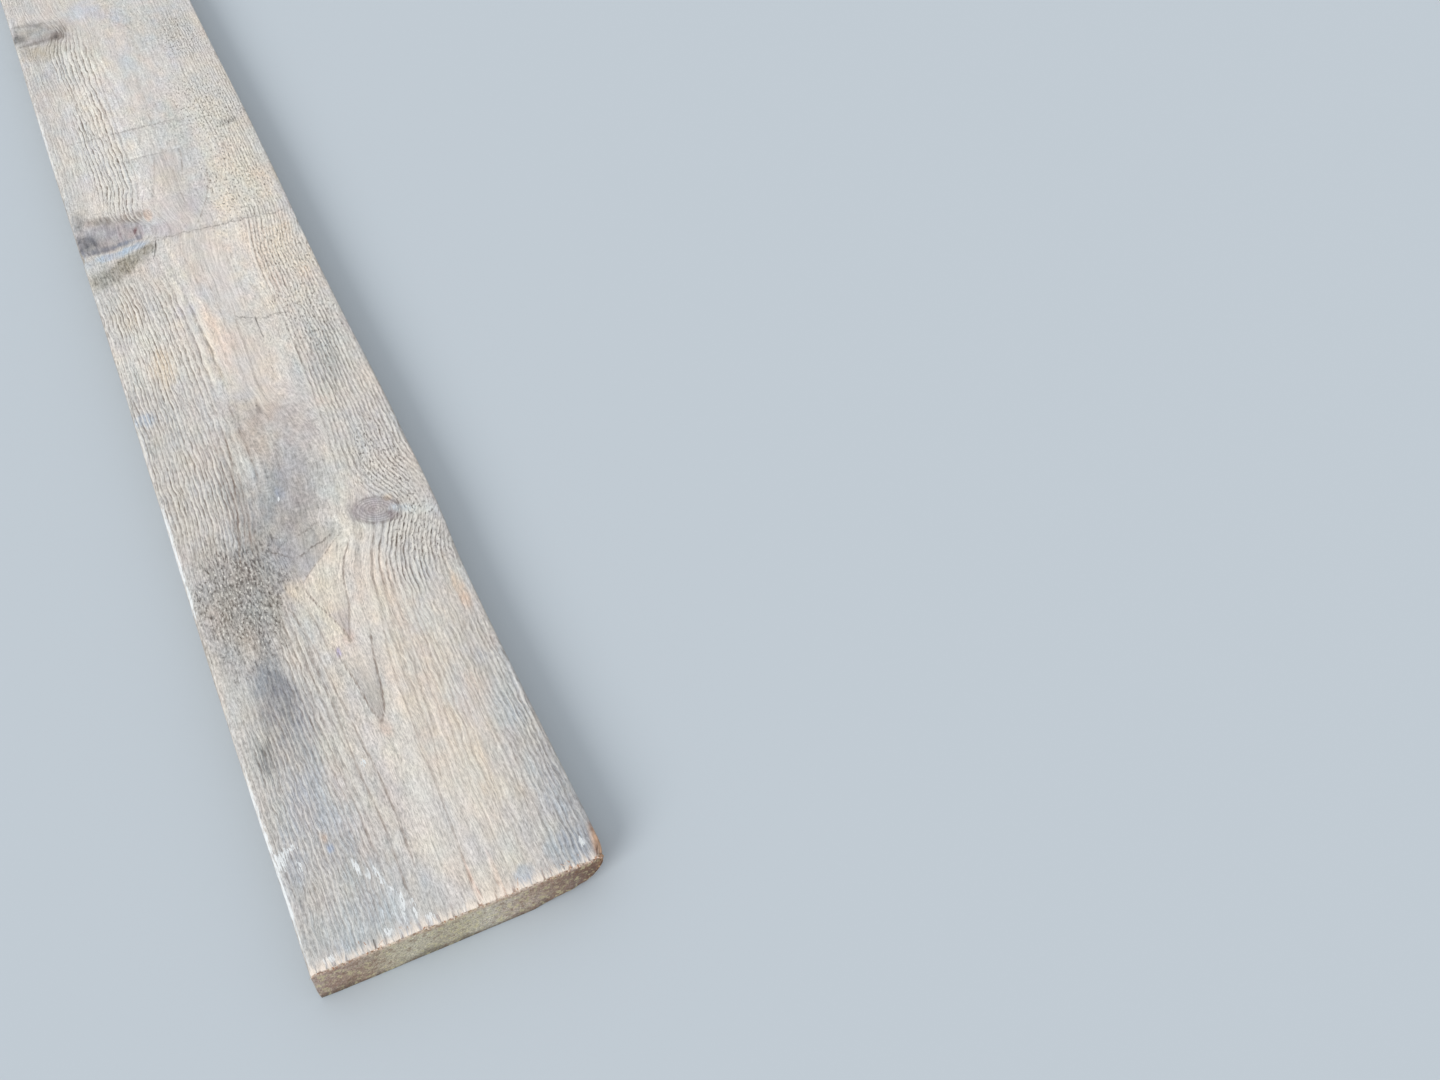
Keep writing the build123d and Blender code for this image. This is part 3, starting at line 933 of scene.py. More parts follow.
STAINS = [
    # along, across, half along, half across, lean, strength, colour
    # the long bands
    (500, 0, 900, 24, 0, 0.45, GREY), (1150, 15, 340, 40, 0, 0.35, (201, 202, 202)),
    (225, 136, 250, 62, 0, 0.85, (230, 221, 209)), (60, 122, 80, 32, 0, 0.8, (224, 217, 208)),
    (720, 140, 220, 70, 0, 0.55, (221, 212, 204)), (1080, 62, 220, 50, 0, 0.75, (228, 224, 218)),
    (1180, 190, 280, 50, 0, 0.45, (216, 213, 208)), (60, 28, 110, 42, 0, 0.85, (184, 187, 191)),
    (90, 207, 170, 20, 0, 0.75, (184, 188, 192)), (25, 70, 45, 40, 0, 0.65, (193, 198, 202)),
    (60, 30, 44, 16, 0, 0.6, (210, 202, 194)), (150, 72, 70, 14, 0, 0.6, (214, 208, 201)),
    (250, 4, 60, 9, 0, 0.6, (214, 209, 204)), (300, 62, 50, 8, -4, 0.5, (208, 200, 190)),
    # round the tongues
    (176, 110, 12, 6, 0, 0.6, (222, 198, 184)), (276, 110, 10, 5, 0, 0.5, (216, 194, 184)),
    (330, 84, 50, 8, -12, 0.5, (218, 208, 192)),
    # dark stains
    (236, 40, 60, 18, 3, 0.90, (142, 145, 152)), (205, 50, 40, 16, 10, 0.55, (150, 153, 160)),
    (188, 19, 22, 9, 8, 0.90, (124, 124, 124)), (170, 42, 40, 16, 0, 0.50, (176, 179, 184)),
    (353, 45, 70, 38, 8, 0.82, (150, 146, 141)), (395, 60, 40, 17, 15, 0.65, (152, 147, 145)),
    (440, 92, 64, 44, 14, 0.90, (160, 161, 164)), (480, 112, 46, 22, 8, 0.75, (166, 167, 169)),
    (480, 62, 70, 8, 4, 0.7, (160, 159, 160)), (425, 108, 34, 18, 10, 0.7, (166, 161, 161)),
    (540, 133, 46, 22, 0, 0.80, (178, 171, 170)), (552, 98, 46, 26, 0, 0.75, (176, 165, 155)),
    (620, 186, 62, 17, 6, 0.75, (172, 174, 172)), (600, 158, 50, 10, 8, 0.5, (192, 193, 188)),
    (600, 105, 22, 9, 0, 0.4, (186, 189, 192)), (458, 101, 9, 5, 0, 0.6, (158, 164, 180)),
    (712, 138, 10, 14, 0, 0.3, (186, 182, 176)), (572, 111, 9, 4, 0, 0.8, (128, 120, 116)),
    (250, 45, 40, 8, 2, 0.4, (120, 120, 124)),
    # pale streaks between the ridges and the smooth middle
    (690, 91, 90, 2.8, 0, 0.65, (238, 230, 214)), (760, 83, 70, 2.6, -4, 0.65, (238, 232, 220)),
    (800, 92, 60, 2.8, -5, 0.55, (236, 228, 216)), (660, 82, 60, 2.6, 0, 0.5, (236, 230, 218)),
    # warm patches
    (830, 182, 150, 44, 0, 0.70, (236, 223, 206)), (705, 36, 80, 36, 0, 0.6, (234, 228, 218)),
    (1000, 188, 150, 34, 0, 0.60, (230, 220, 203)), (1235, 132, 70, 24, 0, 0.5, (220, 216, 210)),
    (470, 130, 60, 18, 0, 0.55, (170, 166, 165)), (700, 98, 74, 10, -2, 0.62, (229, 211, 199)),
    (668, 42, 34, 12, 0, 0.7, (232, 214, 190)), (770, 28, 40, 14, 0, 0.5, (226, 214, 198)),
    (285, 209, 26, 6, 0, 0.75, (222, 196, 174)), (858, 209, 28, 6, 0, 0.55, (222, 201, 183)),
    (756, 182, 17, 14, 0, 0.5, (220, 201, 188)), (1155, 62, 40, 16, 0, 0.5, (221, 208, 191)),
    (1265, 85, 50, 20, 0, 0.55, (224, 216, 203)), (940, 180, 70, 36, 0, 0.45, (217, 208, 194)),
    (430, 152, 24, 8, 0, 0.5, (212, 203, 188)), (452, 190, 36, 16, 20, 0.5, (226, 220, 212)),
    (1370, 185, 60, 26, 0, 0.5, (216, 208, 198)),
    # cool patches
    (1090, 125, 34, 50, 0, 0.5, (199, 204, 200)), (1235, 122, 90, 14, 0, 0.5, (201, 204, 207)),
    (1300, 20, 120, 26, 0, 0.35, (198, 200, 202)), (605, 12, 9, 12, 0, 0.8, (180, 196, 213)),
    (1370, 132, 24, 15, 0, 0.65, (188, 197, 205)), (1330, 175, 90, 34, 0, 0.6, (188, 188, 187)),
    (748, 82, 12, 13, 0, 0.5, (206, 203, 212)), (10, 161, 9, 9, 0, 0.85, (172, 188, 206)),
    (14, 202, 26, 22, 0, 0.85, (160, 168, 180)), (44, 214, 70, 13, 0, 0.60, (158, 161, 166)),
    (46, 207, 15, 6, 0, 0.45, (180, 196, 210)), (20, 186, 7, 8, 0, 0.4, (182, 196, 208)),
    (262, 98, 4, 2, 0, 0.9, (184, 176, 214)), (91, 43, 5, 3, 0, 0.9, (166, 186, 216)),
    (102, 41, 5, 3, 0, 0.8, (226, 199, 178)), (22, 126.5, 24, 1.6, 0, 0.8, (230, 204, 190)),
    (26, 144, 22, 1.6, 0, 0.6, (228, 208, 194)), (520, 205, 70, 14, 0, 0.35, (206, 196, 190)),
    # round knot and the pale streak that leaves it
    (402, 171, 19, 25, 28, 0.95, (176, 166, 168)), (390, 184, 7, 10, 28, 0.6, (146, 136, 138)),
    (394, 194, 6, 13, 35, 0.9, (200, 210, 217)), (412, 186, 5, 5, 0, 0.7, (206, 184, 160)),
    (386, 206, 8, 18, 22, 0.85, (226, 226, 220)),
    # branch cut lengthwise
    (834, 20, 18, 27, -30, 0.76, (148, 144, 130)), (850, 44, 13, 27, -36, 0.82, (144, 137, 121)),
    (866, 64, 9, 16, -36, 0.80, (146, 139, 124)), (912, 34, 30, 44, 16, 0.92, (158, 150, 152)),
    # the dark band at 936 mm is painted shade on the far side of the branch
    (902, 9, 18, 14, 10, 0.97, (98, 98, 104)), (936, 34, 8, 30, 14, 0.85, (134, 127, 122)),
    (931, 64, 12, 14, 0, 0.80, (170, 158, 146)), (924, 79, 12, 5, 0, 0.8, (224, 192, 166)),
    (893, 92, 13, 30, 24, 0.55, (188, 180, 184)), (900, 60, 14, 16, 20, 0.7, (170, 152, 152)),
    # The next five ovals, at 866 to 887 mm, are painted sky light and painted shade in the hollow beside the
    # branch: pale blue-grey on its lit slope, dark grey-blue in its shaded part.
    (886, 20, 6, 22, 4, 0.92, (116, 118, 128)), (887, 48, 5, 20, -14, 0.88, (126, 130, 144)),
    (866, 8, 8, 10, 0, 0.6, (186, 192, 198)), (869, 30, 6.5, 18, 2, 0.85, (178, 191, 207)),
    (875, 54, 5.5, 18, -14, 0.95, (168, 187, 209)), (906, 62, 8, 2.5, 20, 0.9, (116, 82, 82)),
    (945, 9, 20, 9, 0, 0.75, (146, 148, 150)), (935, 108, 40, 34, 0, 0.5, (200, 192, 190)),
    # pale streaks that fan out in front of the second branch
    (1290, 56, 50, 2.4, -5, 0.85, (248, 244, 236)), (1272, 68, 60, 2.4, -9, 0.85, (248, 244, 236)),
    (1270, 78, 60, 2.6, -7, 0.8, (246, 242, 234)), (1240, 94, 80, 2.8, -6, 0.7, (240, 236, 228)),
    (1190, 61, 80, 2.4, -1, 0.7, (246, 242, 234)), (1300, 150, 90, 26, 0, 0.45, (198, 199, 200)),
    # second branch
    (1322, 30, 27, 34, -4, 0.82, (182, 171, 154)), (1371, 30, 34, 48, 5, 0.86, (160, 153, 147)),
    # the near-black oval at 1366 mm by the left edge is a painted shadow at the second branch
    (1366, 8, 13, 10, 0, 0.95, (106, 105, 105)), (1354, 55, 14, 11, 0, 0.9, (142, 133, 126)),
    (1394, 30, 6, 30, 12, 0.70, (138, 133, 129)), (1348, 30, 6, 30, -8, 0.80, (128, 121, 115)),
    (1371, 36, 8, 22, 2, 0.6, (182, 180, 178)), (1368, 62, 16, 8, 0, 0.7, (140, 134, 130)),
    # the near-black dot at 1354 mm is painted shade in the eye's pit
    (1354, 52, 6, 3.5, 0, 0.95, (98, 92, 88)), (1400, 95, 34, 30, 0, 0.5, (196, 198, 206)),
    # faint bars that bearers left
    (877, 150, 5, 80, 0, 0.35, (170, 163, 158)), (1038, 105, 5, 66, 0, 0.35, (172, 168, 165)),
    (1099, 112, 5, 64, 0, 0.35, (172, 168, 165)), (1072, 200, 8, 15, 0, 0.8, (140, 138, 136)),
    # grey patches near them, and the far half
    (1012, 118, 44, 18, 14, 0.6, (190, 183, 178)), (940, 135, 50, 10, 22, 0.5, (196, 190, 190)),
    (1836, 150, 15, 13, 20, 0.9, (150, 139, 134)), (1760, 60, 160, 24, 0, 0.4, WET_GREY),
    (2050, 170, 200, 40, 0, 0.4, BLUE_GREY), (2280, 60, 180, 60, 0, 0.4, (205, 198, 189)),
]

ragged = 0.20 * soft_noise(along / 9, across / 3.2, 51) + 0.18 * soft_noise(along / 30, across / 11, 52)
mottled = 0.82 + 0.26 * soft_noise(along / 7, across / 3.5, 53)
warmth = 0.046 * soft_noise(along / 38, across / 17, 54) + 0.030 * soft_noise(along / 13, across / 8, 55)
greenness = 0.018 * soft_noise(along / 30, across / 16, 56) + 0.014 * soft_noise(along / 13, across / 9, 57)
tint = np.repeat(linear(PLAIN_WOOD)[None], len(along), axis=0)
for *place, strength, colour in STAINS:
    share = np.clip(strength * mottled, 0, 1) * patch(along, across, place, ragged)
    tint = blend(tint, linear(colour), share)


def strip_between(upper, lower, upper_soft, lower_soft, fade_start, fade_end):
    """1 between two drawn edges of a tongue and 0 outside, fading out at its far end."""
    wander = 1.0 * soft_noise(along / 9, across / 6, 33) + 0.9 * soft_noise(along / 26, across / 17, 34)
    below = across - np.interp(along, *zip(*upper)) + wander * min(upper_soft / 2, 1)
    above = np.interp(along, *zip(*lower)) - across + wander * min(lower_soft / 2, 1)
    share = ease(below / upper_soft + 0.5) * ease(above / lower_soft + 0.5) * (along > upper[0][0])
    return share * (1 - ease((along - fade_start) / (fade_end - fade_start)))


for *edges_and_fade, strength, colour in TONGUES:
    inside_tongue = strip_between(*edges_and_fade)
    share = np.clip(strength * (0.85 + 0.15 * mottled), 0, 1) * inside_tongue
    tint = blend(tint, linear(colour), share)
tint = tint * np.stack([1 + warmth, 1 + greenness, 1 - warmth], axis=1)
tint = tint * (BRIGHTNESS + FAR_BRIGHTER * ease((along - BRIGHTER_FROM) / BRIGHTER_RUN))[:, None]
print("stains on the worn face:", len(STAINS))

# %% [markdown]
# The sides, the underside and the sawn ends have colours of their own. The near
# end is khaki in the middle and brown at both corners, and turns rusty where the
# wood broke last. It is made darker towards its foot, and along the floor it gets a
# painted contact shadow. The torn corner under it is torn wood's brown with painted
# shade.

# %% Colours of the other faces
SIDE, UNDER, FAR_END = (172, 164, 154), (188, 176, 158), (196, 176, 146)
# The last colour on the next line is a painted contact shadow for the foot of the near end.
END_BROWN, END_RUST, END_CONTACT_SHADOW = (150, 120, 96), (150, 108, 82), (88, 82, 76)
# The first colour on the next line is torn wood's brown with painted shade, for the split corner underneath.
TORN_WOOD_AND_SHADE, CHIP_FRESH, CHIP_DARK = (120, 84, 64), (205, 164, 132), (122, 86, 66)
END_COLOURS = [
    # across, colour
    (0, (178, 164, 158)), (14, (174, 153, 142)), (40, (172, 156, 142)), (56, (196, 188, 168)),
    (75, (200, 194, 176)), (96, (184, 176, 158)), (112, (188, 180, 160)), (132, (208, 202, 188)),
    (150, (192, 180, 168)), (168, (178, 160, 148)), (190, (138, 120, 112)), (206, (120, 97, 86)),
    (225, (140, 106, 88)),
]


def along_list(pairs, place):
    """Colours read from a list of (place, colour)."""
    places, colours = zip(*pairs)
    table = linear(colours)
    return np.stack([np.interp(place, places, part) for part in table.T], axis=1)


end_place = across + 7 * soft_noise(across / 14, deep / 8, 61)
end_colour = along_list(END_COLOURS, end_place)
# the near end is made darker over its lowest dozen millimetres
end_darker_below = ease((deep - 27 + 5 * soft_noise(across / 9, deep / 9, 62)) / 11)
end_colour = end_colour * (1 - 0.55 * end_darker_below)[:, None]
end_patches = ease(0.5 + 0.9 * soft_noise(across / 11 + deep / 20, deep / 9, 67))
end_patches = end_patches * ease((np.abs(across - 95) - 30) / 30)
end_colour = blend(end_colour, linear(END_BROWN), 0.30 * end_patches)
end_rust = hill((deep - 2.5 - 1.5 * line_noise(across / 6, 63)) / 2.2)
end_colour = blend(end_colour, linear(END_RUST), 0.55 * end_rust)
# painted contact shadow: the lowest two millimetres of the near end are darkened where it meets the floor
end_contact_shadow = hill(from_foot / (2.0 + 0.9 * line_noise(across / 5, 66)))
end_colour = blend(end_colour, linear(END_CONTACT_SHADOW), 0.85 * end_contact_shadow)
tint = blend(tint, linear(SIDE), is_side * 0.9)
tint = blend(tint, linear(UNDER), is_under)
tint = blend(tint, end_colour, near_end)
tint = blend(tint, linear(FAR_END), far_end)
# the split corner faces down: its dark brown is torn wood with painted shade
tint = blend(tint, linear(TORN_WOOD_AND_SHADE), torn_corner * (1 - near_end) * 0.85)
chipped = (1 - ease((np.hypot(along / 33, from_right / 9) - 0.6) / 0.5)) * (across > 150)
chip_patchy = soft_noise(along / 4, deep / 2.6, 64) + 0.5 * soft_noise(along / 9, deep / 7, 65)
tint = blend(tint, linear(CHIP_FRESH), chipped * 0.9)
tint = blend(tint, linear(CHIP_DARK), chipped * ease(0.5 + chip_patchy) * 0.8)
print("brightest and darkest part of the tint:", tint.max().round(2), tint.min().round(2))

# %% [markdown]
# Three more masks finish the list: mould, that makes a felt of short dark marks;
# chalky paint, on the left arris and in a few splashes; and rough pitted wood.
# Cracks, and the clearest lines of the grain, are kept as a distance in
# millimetres, because the finish can cut a thin sharp line from a distance even
# where the mesh is coarse.

# %% Mould, paint, pits, cracks and grain lines
MOULDY = [
    # along, across, half along, half across, lean
    (345, 38, 74, 48, 8), (398, 38, 38, 30, 0), (298, 24, 32, 15, 0), (358, 70, 38, 11, 6),
    (392, 66, 40, 22, 20), (834, 20, 20, 26, -30), (850, 44, 14, 26, -36), (866, 66, 10, 16, -36),
]
SPLASHES = [
    # along, across, half along, half across, lean
    (67, 55, 11, 3.0, -8), (53, 68, 13, 2.6, -12), (26, 76, 15, 3.4, 6), (20, 82.5, 11, 2.6, 0),
    (6, 91, 7, 4, 0), (41, 73, 7, 2.2, 0), (60, 61, 6, 2.0, 0), (152, 85, 5, 3, 0), (97, 5, 14, 8, 0),
    (103, 15, 5, 8, 0), (7, 18, 5, 10, 0), (18, 209, 6, 3, 0), (10, 60, 5, 5, 0), (86, 18, 9, 4, 0),
    (452, 98, 5, 2, 0),
]
LONG_SPLINTERS = [(126, 2.2, 17), (143, 2.0, 14)]     # across, width, how far in they are torn
ARRIS_PAINT = [
    # along, how much paint is left
    (0, 0.3), (30, 0.75), (60, 1), (175, 0.95), (195, 0.35), (340, 0.2), (356, 0.9), (395, 0.75), (400, 1),
    (485, 0.95), (495, 0.25), (1030, 0.2), (1055, 0.65), (1165, 0.8), (1180, 0.25), (2400, 0.15),
]
ROUGH = [
    # along, across, half along, half across
    (370, 200, 60, 30), (460, 195, 60, 30), (690, 190, 90, 38), (800, 196, 70, 34), (955, 182, 100, 46),
    (1110, 184, 100, 46), (1290, 190, 70, 30), (350, 40, 80, 44), (1900, 100, 300, 110),
]
CRACKS = [
    # places (along, across) on each crack
    [(672, 141), (690, 140.5), (711, 141.5)], [(846, 69), (862, 74), (880, 78)],
    [(596, 99), (586, 106), (577, 112)], [(1560, 60), (1610, 58), (1655, 59)],
    [(2398, 92), (2330, 90), (2284, 91)], [(2398, 160), (2362, 161)], [(-1, 49.5), (4, 49.8), (9, 50)],
]
GRAIN_LINES = [
    # strength, then places (along, across) on the line
    (0.7, [(30, 82.5), (60, 82.7), (95, 83.3), (122, 82), (143, 80.3), (170, 80), (215, 79.5), (260, 77),
           (310, 72)]),
    (0.8, [(50, 93.4), (88, 94.3), (122, 93.7), (138, 92.7), (162, 90.8), (178, 89.3), (192, 88.5),
           (233, 85), (267, 82.5), (283, 80.8), (300, 78.3), (325, 74)]),
    (0.5, [(270, 92), (290, 90.8), (303, 89.7), (317, 87), (330, 83.3), (345, 78)]),
    (1.0, [(181, 109.6), (192, 106.7), (202, 104.6), (217, 103.4), (230, 102), (242, 100), (258, 98),
           (275, 95)]),
    (0.9, [(181, 109), (187, 112), (195, 115.5), (215, 119), (250, 123), (275, 128)]),
    (1.0, [(270, 110.4), (288, 107.3), (300, 103.3), (313, 98.7), (323, 95), (332, 92.7), (345, 91)]),
    (0.8, [(270, 110), (283, 113), (307, 120), (338, 124), (358, 130), (378, 141)]),
    (0.8, [(346, 91.5), (356, 100), (361, 105), (372, 118), (386, 132), (392, 142)]),
    (0.5, [(14, 125.3), (28, 125.8), (53, 127), (90, 128.5), (125, 130), (137, 128.4), (162, 130.3),
           (195, 132), (215, 131.7), (233, 133.3), (255, 135.8), (293, 142), (330, 147), (362, 155),
           (378, 163)]),
    (0.5, [(110, 134), (125, 135.8), (150, 140.5), (175, 140), (215, 142), (260, 146), (310, 151),
           (350, 158), (372, 168)]),
    (0.35, [(180, 150), (225, 151), (270, 155), (320, 160)]),
    (0.35, [(195, 165), (267, 165.5), (320, 170), (360, 182)]),
    (0.4, [(190, 74), (240, 73), (280, 69), (320, 63)]),
    (0.3, [(60, 70), (130, 70), (200, 68), (260, 65)]),
    (0.9, [(384, 48), (420, 55), (450, 61), (480, 66), (513, 71), (560, 75)]),
    (0.6, [(400, 62), (440, 68), (500, 74)]),
    (0.5, [(478, 88.5), (520, 88.7), (590, 87)]),
    (0.3, [(633, 101.5), (700, 100.5), (760, 101), (820, 102)]),
    (0.5, [(703, 135), (708, 131), (714, 125)]),
    (0.3, [(770, 104), (830, 99), (856, 98), (880, 104), (900, 118)]),
    (0.6, [(883, 120), (900, 130), (930, 143), (957, 152), (990, 156)]),
    (0.5, [(960, 92), (990, 99), (1035, 108)]),
    (0.5, [(980, 128), (1017, 135), (1040, 137)]),
    (0.7, [(857, 74.5), (872, 76), (884, 79)]),
    (0.7, [(1090, 45), (1130, 46), (1220, 47.5), (1280, 45)]),
    (0.5, [(1130, 74), (1255, 72.5), (1292, 65), (1318, 59)]),
    (0.4, [(1130, 82), (1240, 82), (1280, 77), (1318, 75)]),
    (0.4, [(1130, 94), (1192, 92), (1264, 89), (1305, 80), (1324, 78)]),
    (0.35, [(590, 118), (650, 121), (700, 122), (745, 126)]),
    (0.3, [(620, 109), (690, 112), (760, 112), (830, 110)]),
    (0.35, [(720, 134), (790, 138), (850, 139)]),
    (0.3, [(930, 120), (990, 121), (1060, 118), (1130, 120)]),
]


def nearest_line(along, across, limit=6.0):
    """Distance to the nearest drawn line of the grain, and that line's strength there."""
    nearest, force = np.full(len(along), limit), np.zeros(len(along))
    for strength, line in GRAIN_LINES:
        places, sides = zip(*line)
        gap = np.abs(across - np.interp(along, places, sides))
        gap = gap + 0.5 * (np.maximum(places[0] - along, 0) + np.maximum(along - places[-1], 0))
        fade = ease((along - places[0] + 6) / 14) * ease((places[-1] + 6 - along) / 14)
        nearer = gap < nearest
        nearest, force = np.where(nearer, gap, nearest), np.where(nearer, strength * fade, force)
    return nearest, force


def crack_distance(along, across, limit=4.0):
    """Distance to the nearest crack, no more than the limit."""
    nearest = np.full(len(along), limit)
    for crack in CRACKS:
        for (a0, c0), (a1, c1) in zip(crack, crack[1:]):
            step = np.array([a1 - a0, c1 - c0], float)
            part = np.clip(((along - a0) * step[0] + (across - c0) * step[1]) / step.dot(step), 0, 1)
            gap = np.hypot(along - a0 - part * step[0], across - c0 - part * step[1])
            nearest = np.minimum(nearest, gap)
    return nearest


def any_patch(places, raggedness):
    """1 where any of the patches lies, and 0 elsewhere."""
    return np.max([patch(along, across, place, raggedness) for place in places], axis=0)


mould = any_patch(MOULDY, 1.4 * ragged) ** 1.5 * is_top
rough = any_patch(ROUGH, ragged) * is_top
paint = any_patch(SPLASHES, ragged) * is_top
on_arris = hill(from_left / 3.6, deep / 4.5)
edge_paint = on_arris * np.interp(along, *zip(*ARRIS_PAINT)) * (1 - is_end)
crack = crack_distance(along, across)
line_gap, drawn = nearest_line(along, across)
fresh_reach = 6.5 * (1 + 0.45 * line_noise(across / 2.6, 43) + 0.35 * line_noise(across / 17, 47))
for tip_across, tip_width, tip_reach in LONG_SPLINTERS:
    fresh_reach = fresh_reach + tip_reach * hill((across - tip_across) / tip_width)
fresh = hill(along / fresh_reach, deep / 3.0) * (along < 50)
print("points with mould, paint and rough wood:", *((mask > 0.5).sum() for mask in (mould, paint, rough)))

# %% [markdown]
# ## The plain plank as a mesh
#
# Points, faces and all these values go into one mesh. Blender calls a named value
# that each point carries an attribute. Geometry Nodes and materials read them by
# name.

# %% Make the mesh
lean = NEAR_END_LEAN * np.clip(1 - across / WIDTH, 0, 1) * (1 - ease(along / LEAN_FADE))
points = to_frame(along + lean, across, deep)
plank_mesh = bpy.data.meshes.new("plank")
plank_mesh.from_pydata(points.tolist(), [], faces)
plank_mesh.polygons.foreach_set("use_smooth", [True] * len(plank_mesh.polygons))


def keep(mesh, name, values, kind="FLOAT", part="value"):
    """Keep a number or a vector for each point under a name."""
    flat = np.asarray(values, np.float32).ravel()
    mesh.attributes.new(name, kind, "POINT").data.foreach_set(part, flat)


numbers = {
    "ring": ring,
    "ring_step": ring_step,
    "ridged": ridged * (is_top + 0.35 * is_side),
    "carried": carried,
    "hollow": hollow,
    "knot_rim": knot_rim + 3 * (1 - is_top),
    "knot_ring": knot_ring,
    "mould": mould,
    "rough": rough,
    "paint": paint,
    "edge_paint": edge_paint,
    "lined": lined * is_top,
    "knot_force": knot_force * is_top,
    "crack": crack + 4 * (1 - is_top),
    "fresh": fresh,
    "line_gap": line_gap,
    "drawn": drawn * is_top,
    "calm": calm,
    "is_end": is_end,
    "is_under": is_under,
}
vectors = {
    "grain": np.stack([along, grain_line(along, across, fibres=True), deep], axis=1),
    "tint": tint,
}
for name, values in numbers.items():
    keep(plank_mesh, name, values)
for name, values in vectors.items():
    keep(plank_mesh, name, values, "FLOAT_VECTOR", "vector")
plank = bpy.data.objects.new("weathered_plank", plank_mesh)
bpy.context.scene.collection.objects.link(plank)
print("attributes:", sorted(a.name for a in plank_mesh.attributes if not a.name.startswith(".")))

# %% [markdown]
# ## The finish
#
# One material covers the whole plank, because the wood is one piece and its faces
# run into each other. It is built up in the order in which the real surface came
# about: the wood with its fibres, the rings, the knots, then mould, cracks, paint
# and the fresh wood of the torn end.

# %% Read the attributes
material = bpy.data.materials.new("weathered_wood")
material.use_nodes = True
wood = material.node_tree
wood.nodes.clear()


def read(name, output="Fac"):
    """An attribute of the mesh, as a number or a vector."""
    return Value(node(wood, "ShaderNodeAttribute", attribute_name=name), output)


def chart(red, green, blue):
    """A colour of the paint chart, as a shader takes it."""
    return (*linear((red, green, blue)), 1)


def shade(colour, amount):
    """Make a colour lighter or darker."""
    return Value(node(colour.tree, "ShaderNodeVectorMath", {0: colour, "Scale": amount}, operation="SCALE"))


def cover(under, over, share):
    """Lay one colour over another."""
    inputs = {0: share, 6: under, 7: over}
    return Value(node(share.tree, "ShaderNodeMix", inputs, data_type="RGBA", clamp_factor=True), 2)


grain = read("grain", "Vector")
plain_colour = read("tint", "Vector")
place = Value(node(wood, "ShaderNodeTexCoord"), "Object")
end_share = read("is_end")
under_share = read("is_under")
print("attributes read so far:", len(wood.nodes) - 1)

# %% [markdown]
# The fibres are noise that is drawn out along the grain. Because it reads the
# `grain` attribute and not the place in space, the streaks bend round the knots
# with the rings. Fine streaks are under half a millimetre wide, broad ones four.

# %% Fibres
def swing(noise, amount):
    """Noise about 0.5, made a swing about 0."""
    return (noise - 0.5) * amount


fine_fibre = speckle(grain, (0.060, 1.5, 1.2), detail=3, roughness=0.6)
hair_fibre = speckle(grain, (0.14, 3.4, 3.0))
streak = speckle(grain, (0.022, 0.62, 0.5))
broad_fibre = speckle(grain, (0.008, 0.22, 0.2))
dash = speckle(grain, (0.085, 0.30, 0.3))
blotch = speckle(grain, (0.05, 0.12, 0.1), detail=3)
flow = speckle(grain, (0.011, 0.62, 0.5))
pebble = speckle(grain, (0.26, 0.60, 0.5), detail=3, roughness=0.62)
cobble = speckle(grain, (0.13, 0.34, 0.3))

calm_here = read("calm")
fibrous = 1.0 - calm_here * 0.4
restless = 1.0 - calm_here * 0.66
tone = 1.0 + swing(flow, 0.75) * calm_here
for noise, amount in ((streak, 0.50), (broad_fibre, 0.20), (blotch, 0.16)):
    tone = tone + swing(noise, amount)
for noise, amount in ((fine_fibre, 0.88), (hair_fibre, 0.60)):
    tone = tone + swing(noise, amount) * fibrous
for noise, amount in ((dash, 0.30), (pebble, 1.30), (cobble, 0.55)):
    tone = tone + swing(noise, amount) * restless
colour = shade(plain_colour, tone)
print("nodes with the fibres:", len(wood.nodes))

# %% [markdown]
# Within each ring the wood goes from soft to hard and then stops at once, where
# winter came. So a ridge has a gentle side and a steep one. Its valley is painted
# darker and its crest a touch lighter, as shade and light on the ridge. Beyond the
# steep side the valley holds dirt and painted shade, and the crest is rubbed pale
# and gets a painted highlight. Where the face is little worn, the hard wood shows
# as a dark band instead, sharp on one side.

# %% Rings on the faces
# The first colour here is dirt with painted shade for the valleys, and the second is rubbed pale wood with a
# painted highlight for the crests.
DIRT_AND_SHADE, RUBBED_AND_LIT = chart(116, 104, 94), chart(240, 235, 226)
HARD_WOOD, LINE_DARK = chart(164, 142, 130), chart(134, 116, 105)

rings_to_a_mm = read("ring_step")
ridge_force = read("ridged")
line_force = read("lined")
rough_here = read("rough")
wobble = swing(fine_fibre, 2.5) + swing(dash, 3.5) + swing(cobble, 2.5)
wobble = wobble * (1.0 - ridge_force * 0.5) * rise(rings_to_a_mm, 0.03, 0.14, 0.4, 1.0)
ragged_ring = read("ring") + wobble * rings_to_a_mm
phase = fraction(ragged_ring)
beyond_ring = phase / rings_to_a_mm
each_ring = node(wood, "ShaderNodeTexWhiteNoise", {"W": whole(ragged_ring)}, noise_dimensions="1D")
ring_force = Value(each_ring, "Value") * 0.4 + 0.7
broken = ring_force * rise(dash, 0.4, 0.6, 0.25, 1.65)
dotted = 1.0 + (rise(pebble, 0.4, 0.58, 0.25, 1.8) - 1.0) * rough_here

crest = rise(phase, 0.34, 0.78) * rise(phase, 0.88, 1.0, 1.0, 0.0)
# dirt and painted shade along the steep side of each ridge
dirt_and_shade_line = larger(rise(phase, 0.04, 0.44, 1.0, 0.0), rise(phase, 0.94, 1.0))
dirt_and_shade_share = dirt_and_shade_line * broken * ridge_force * dotted * 0.66
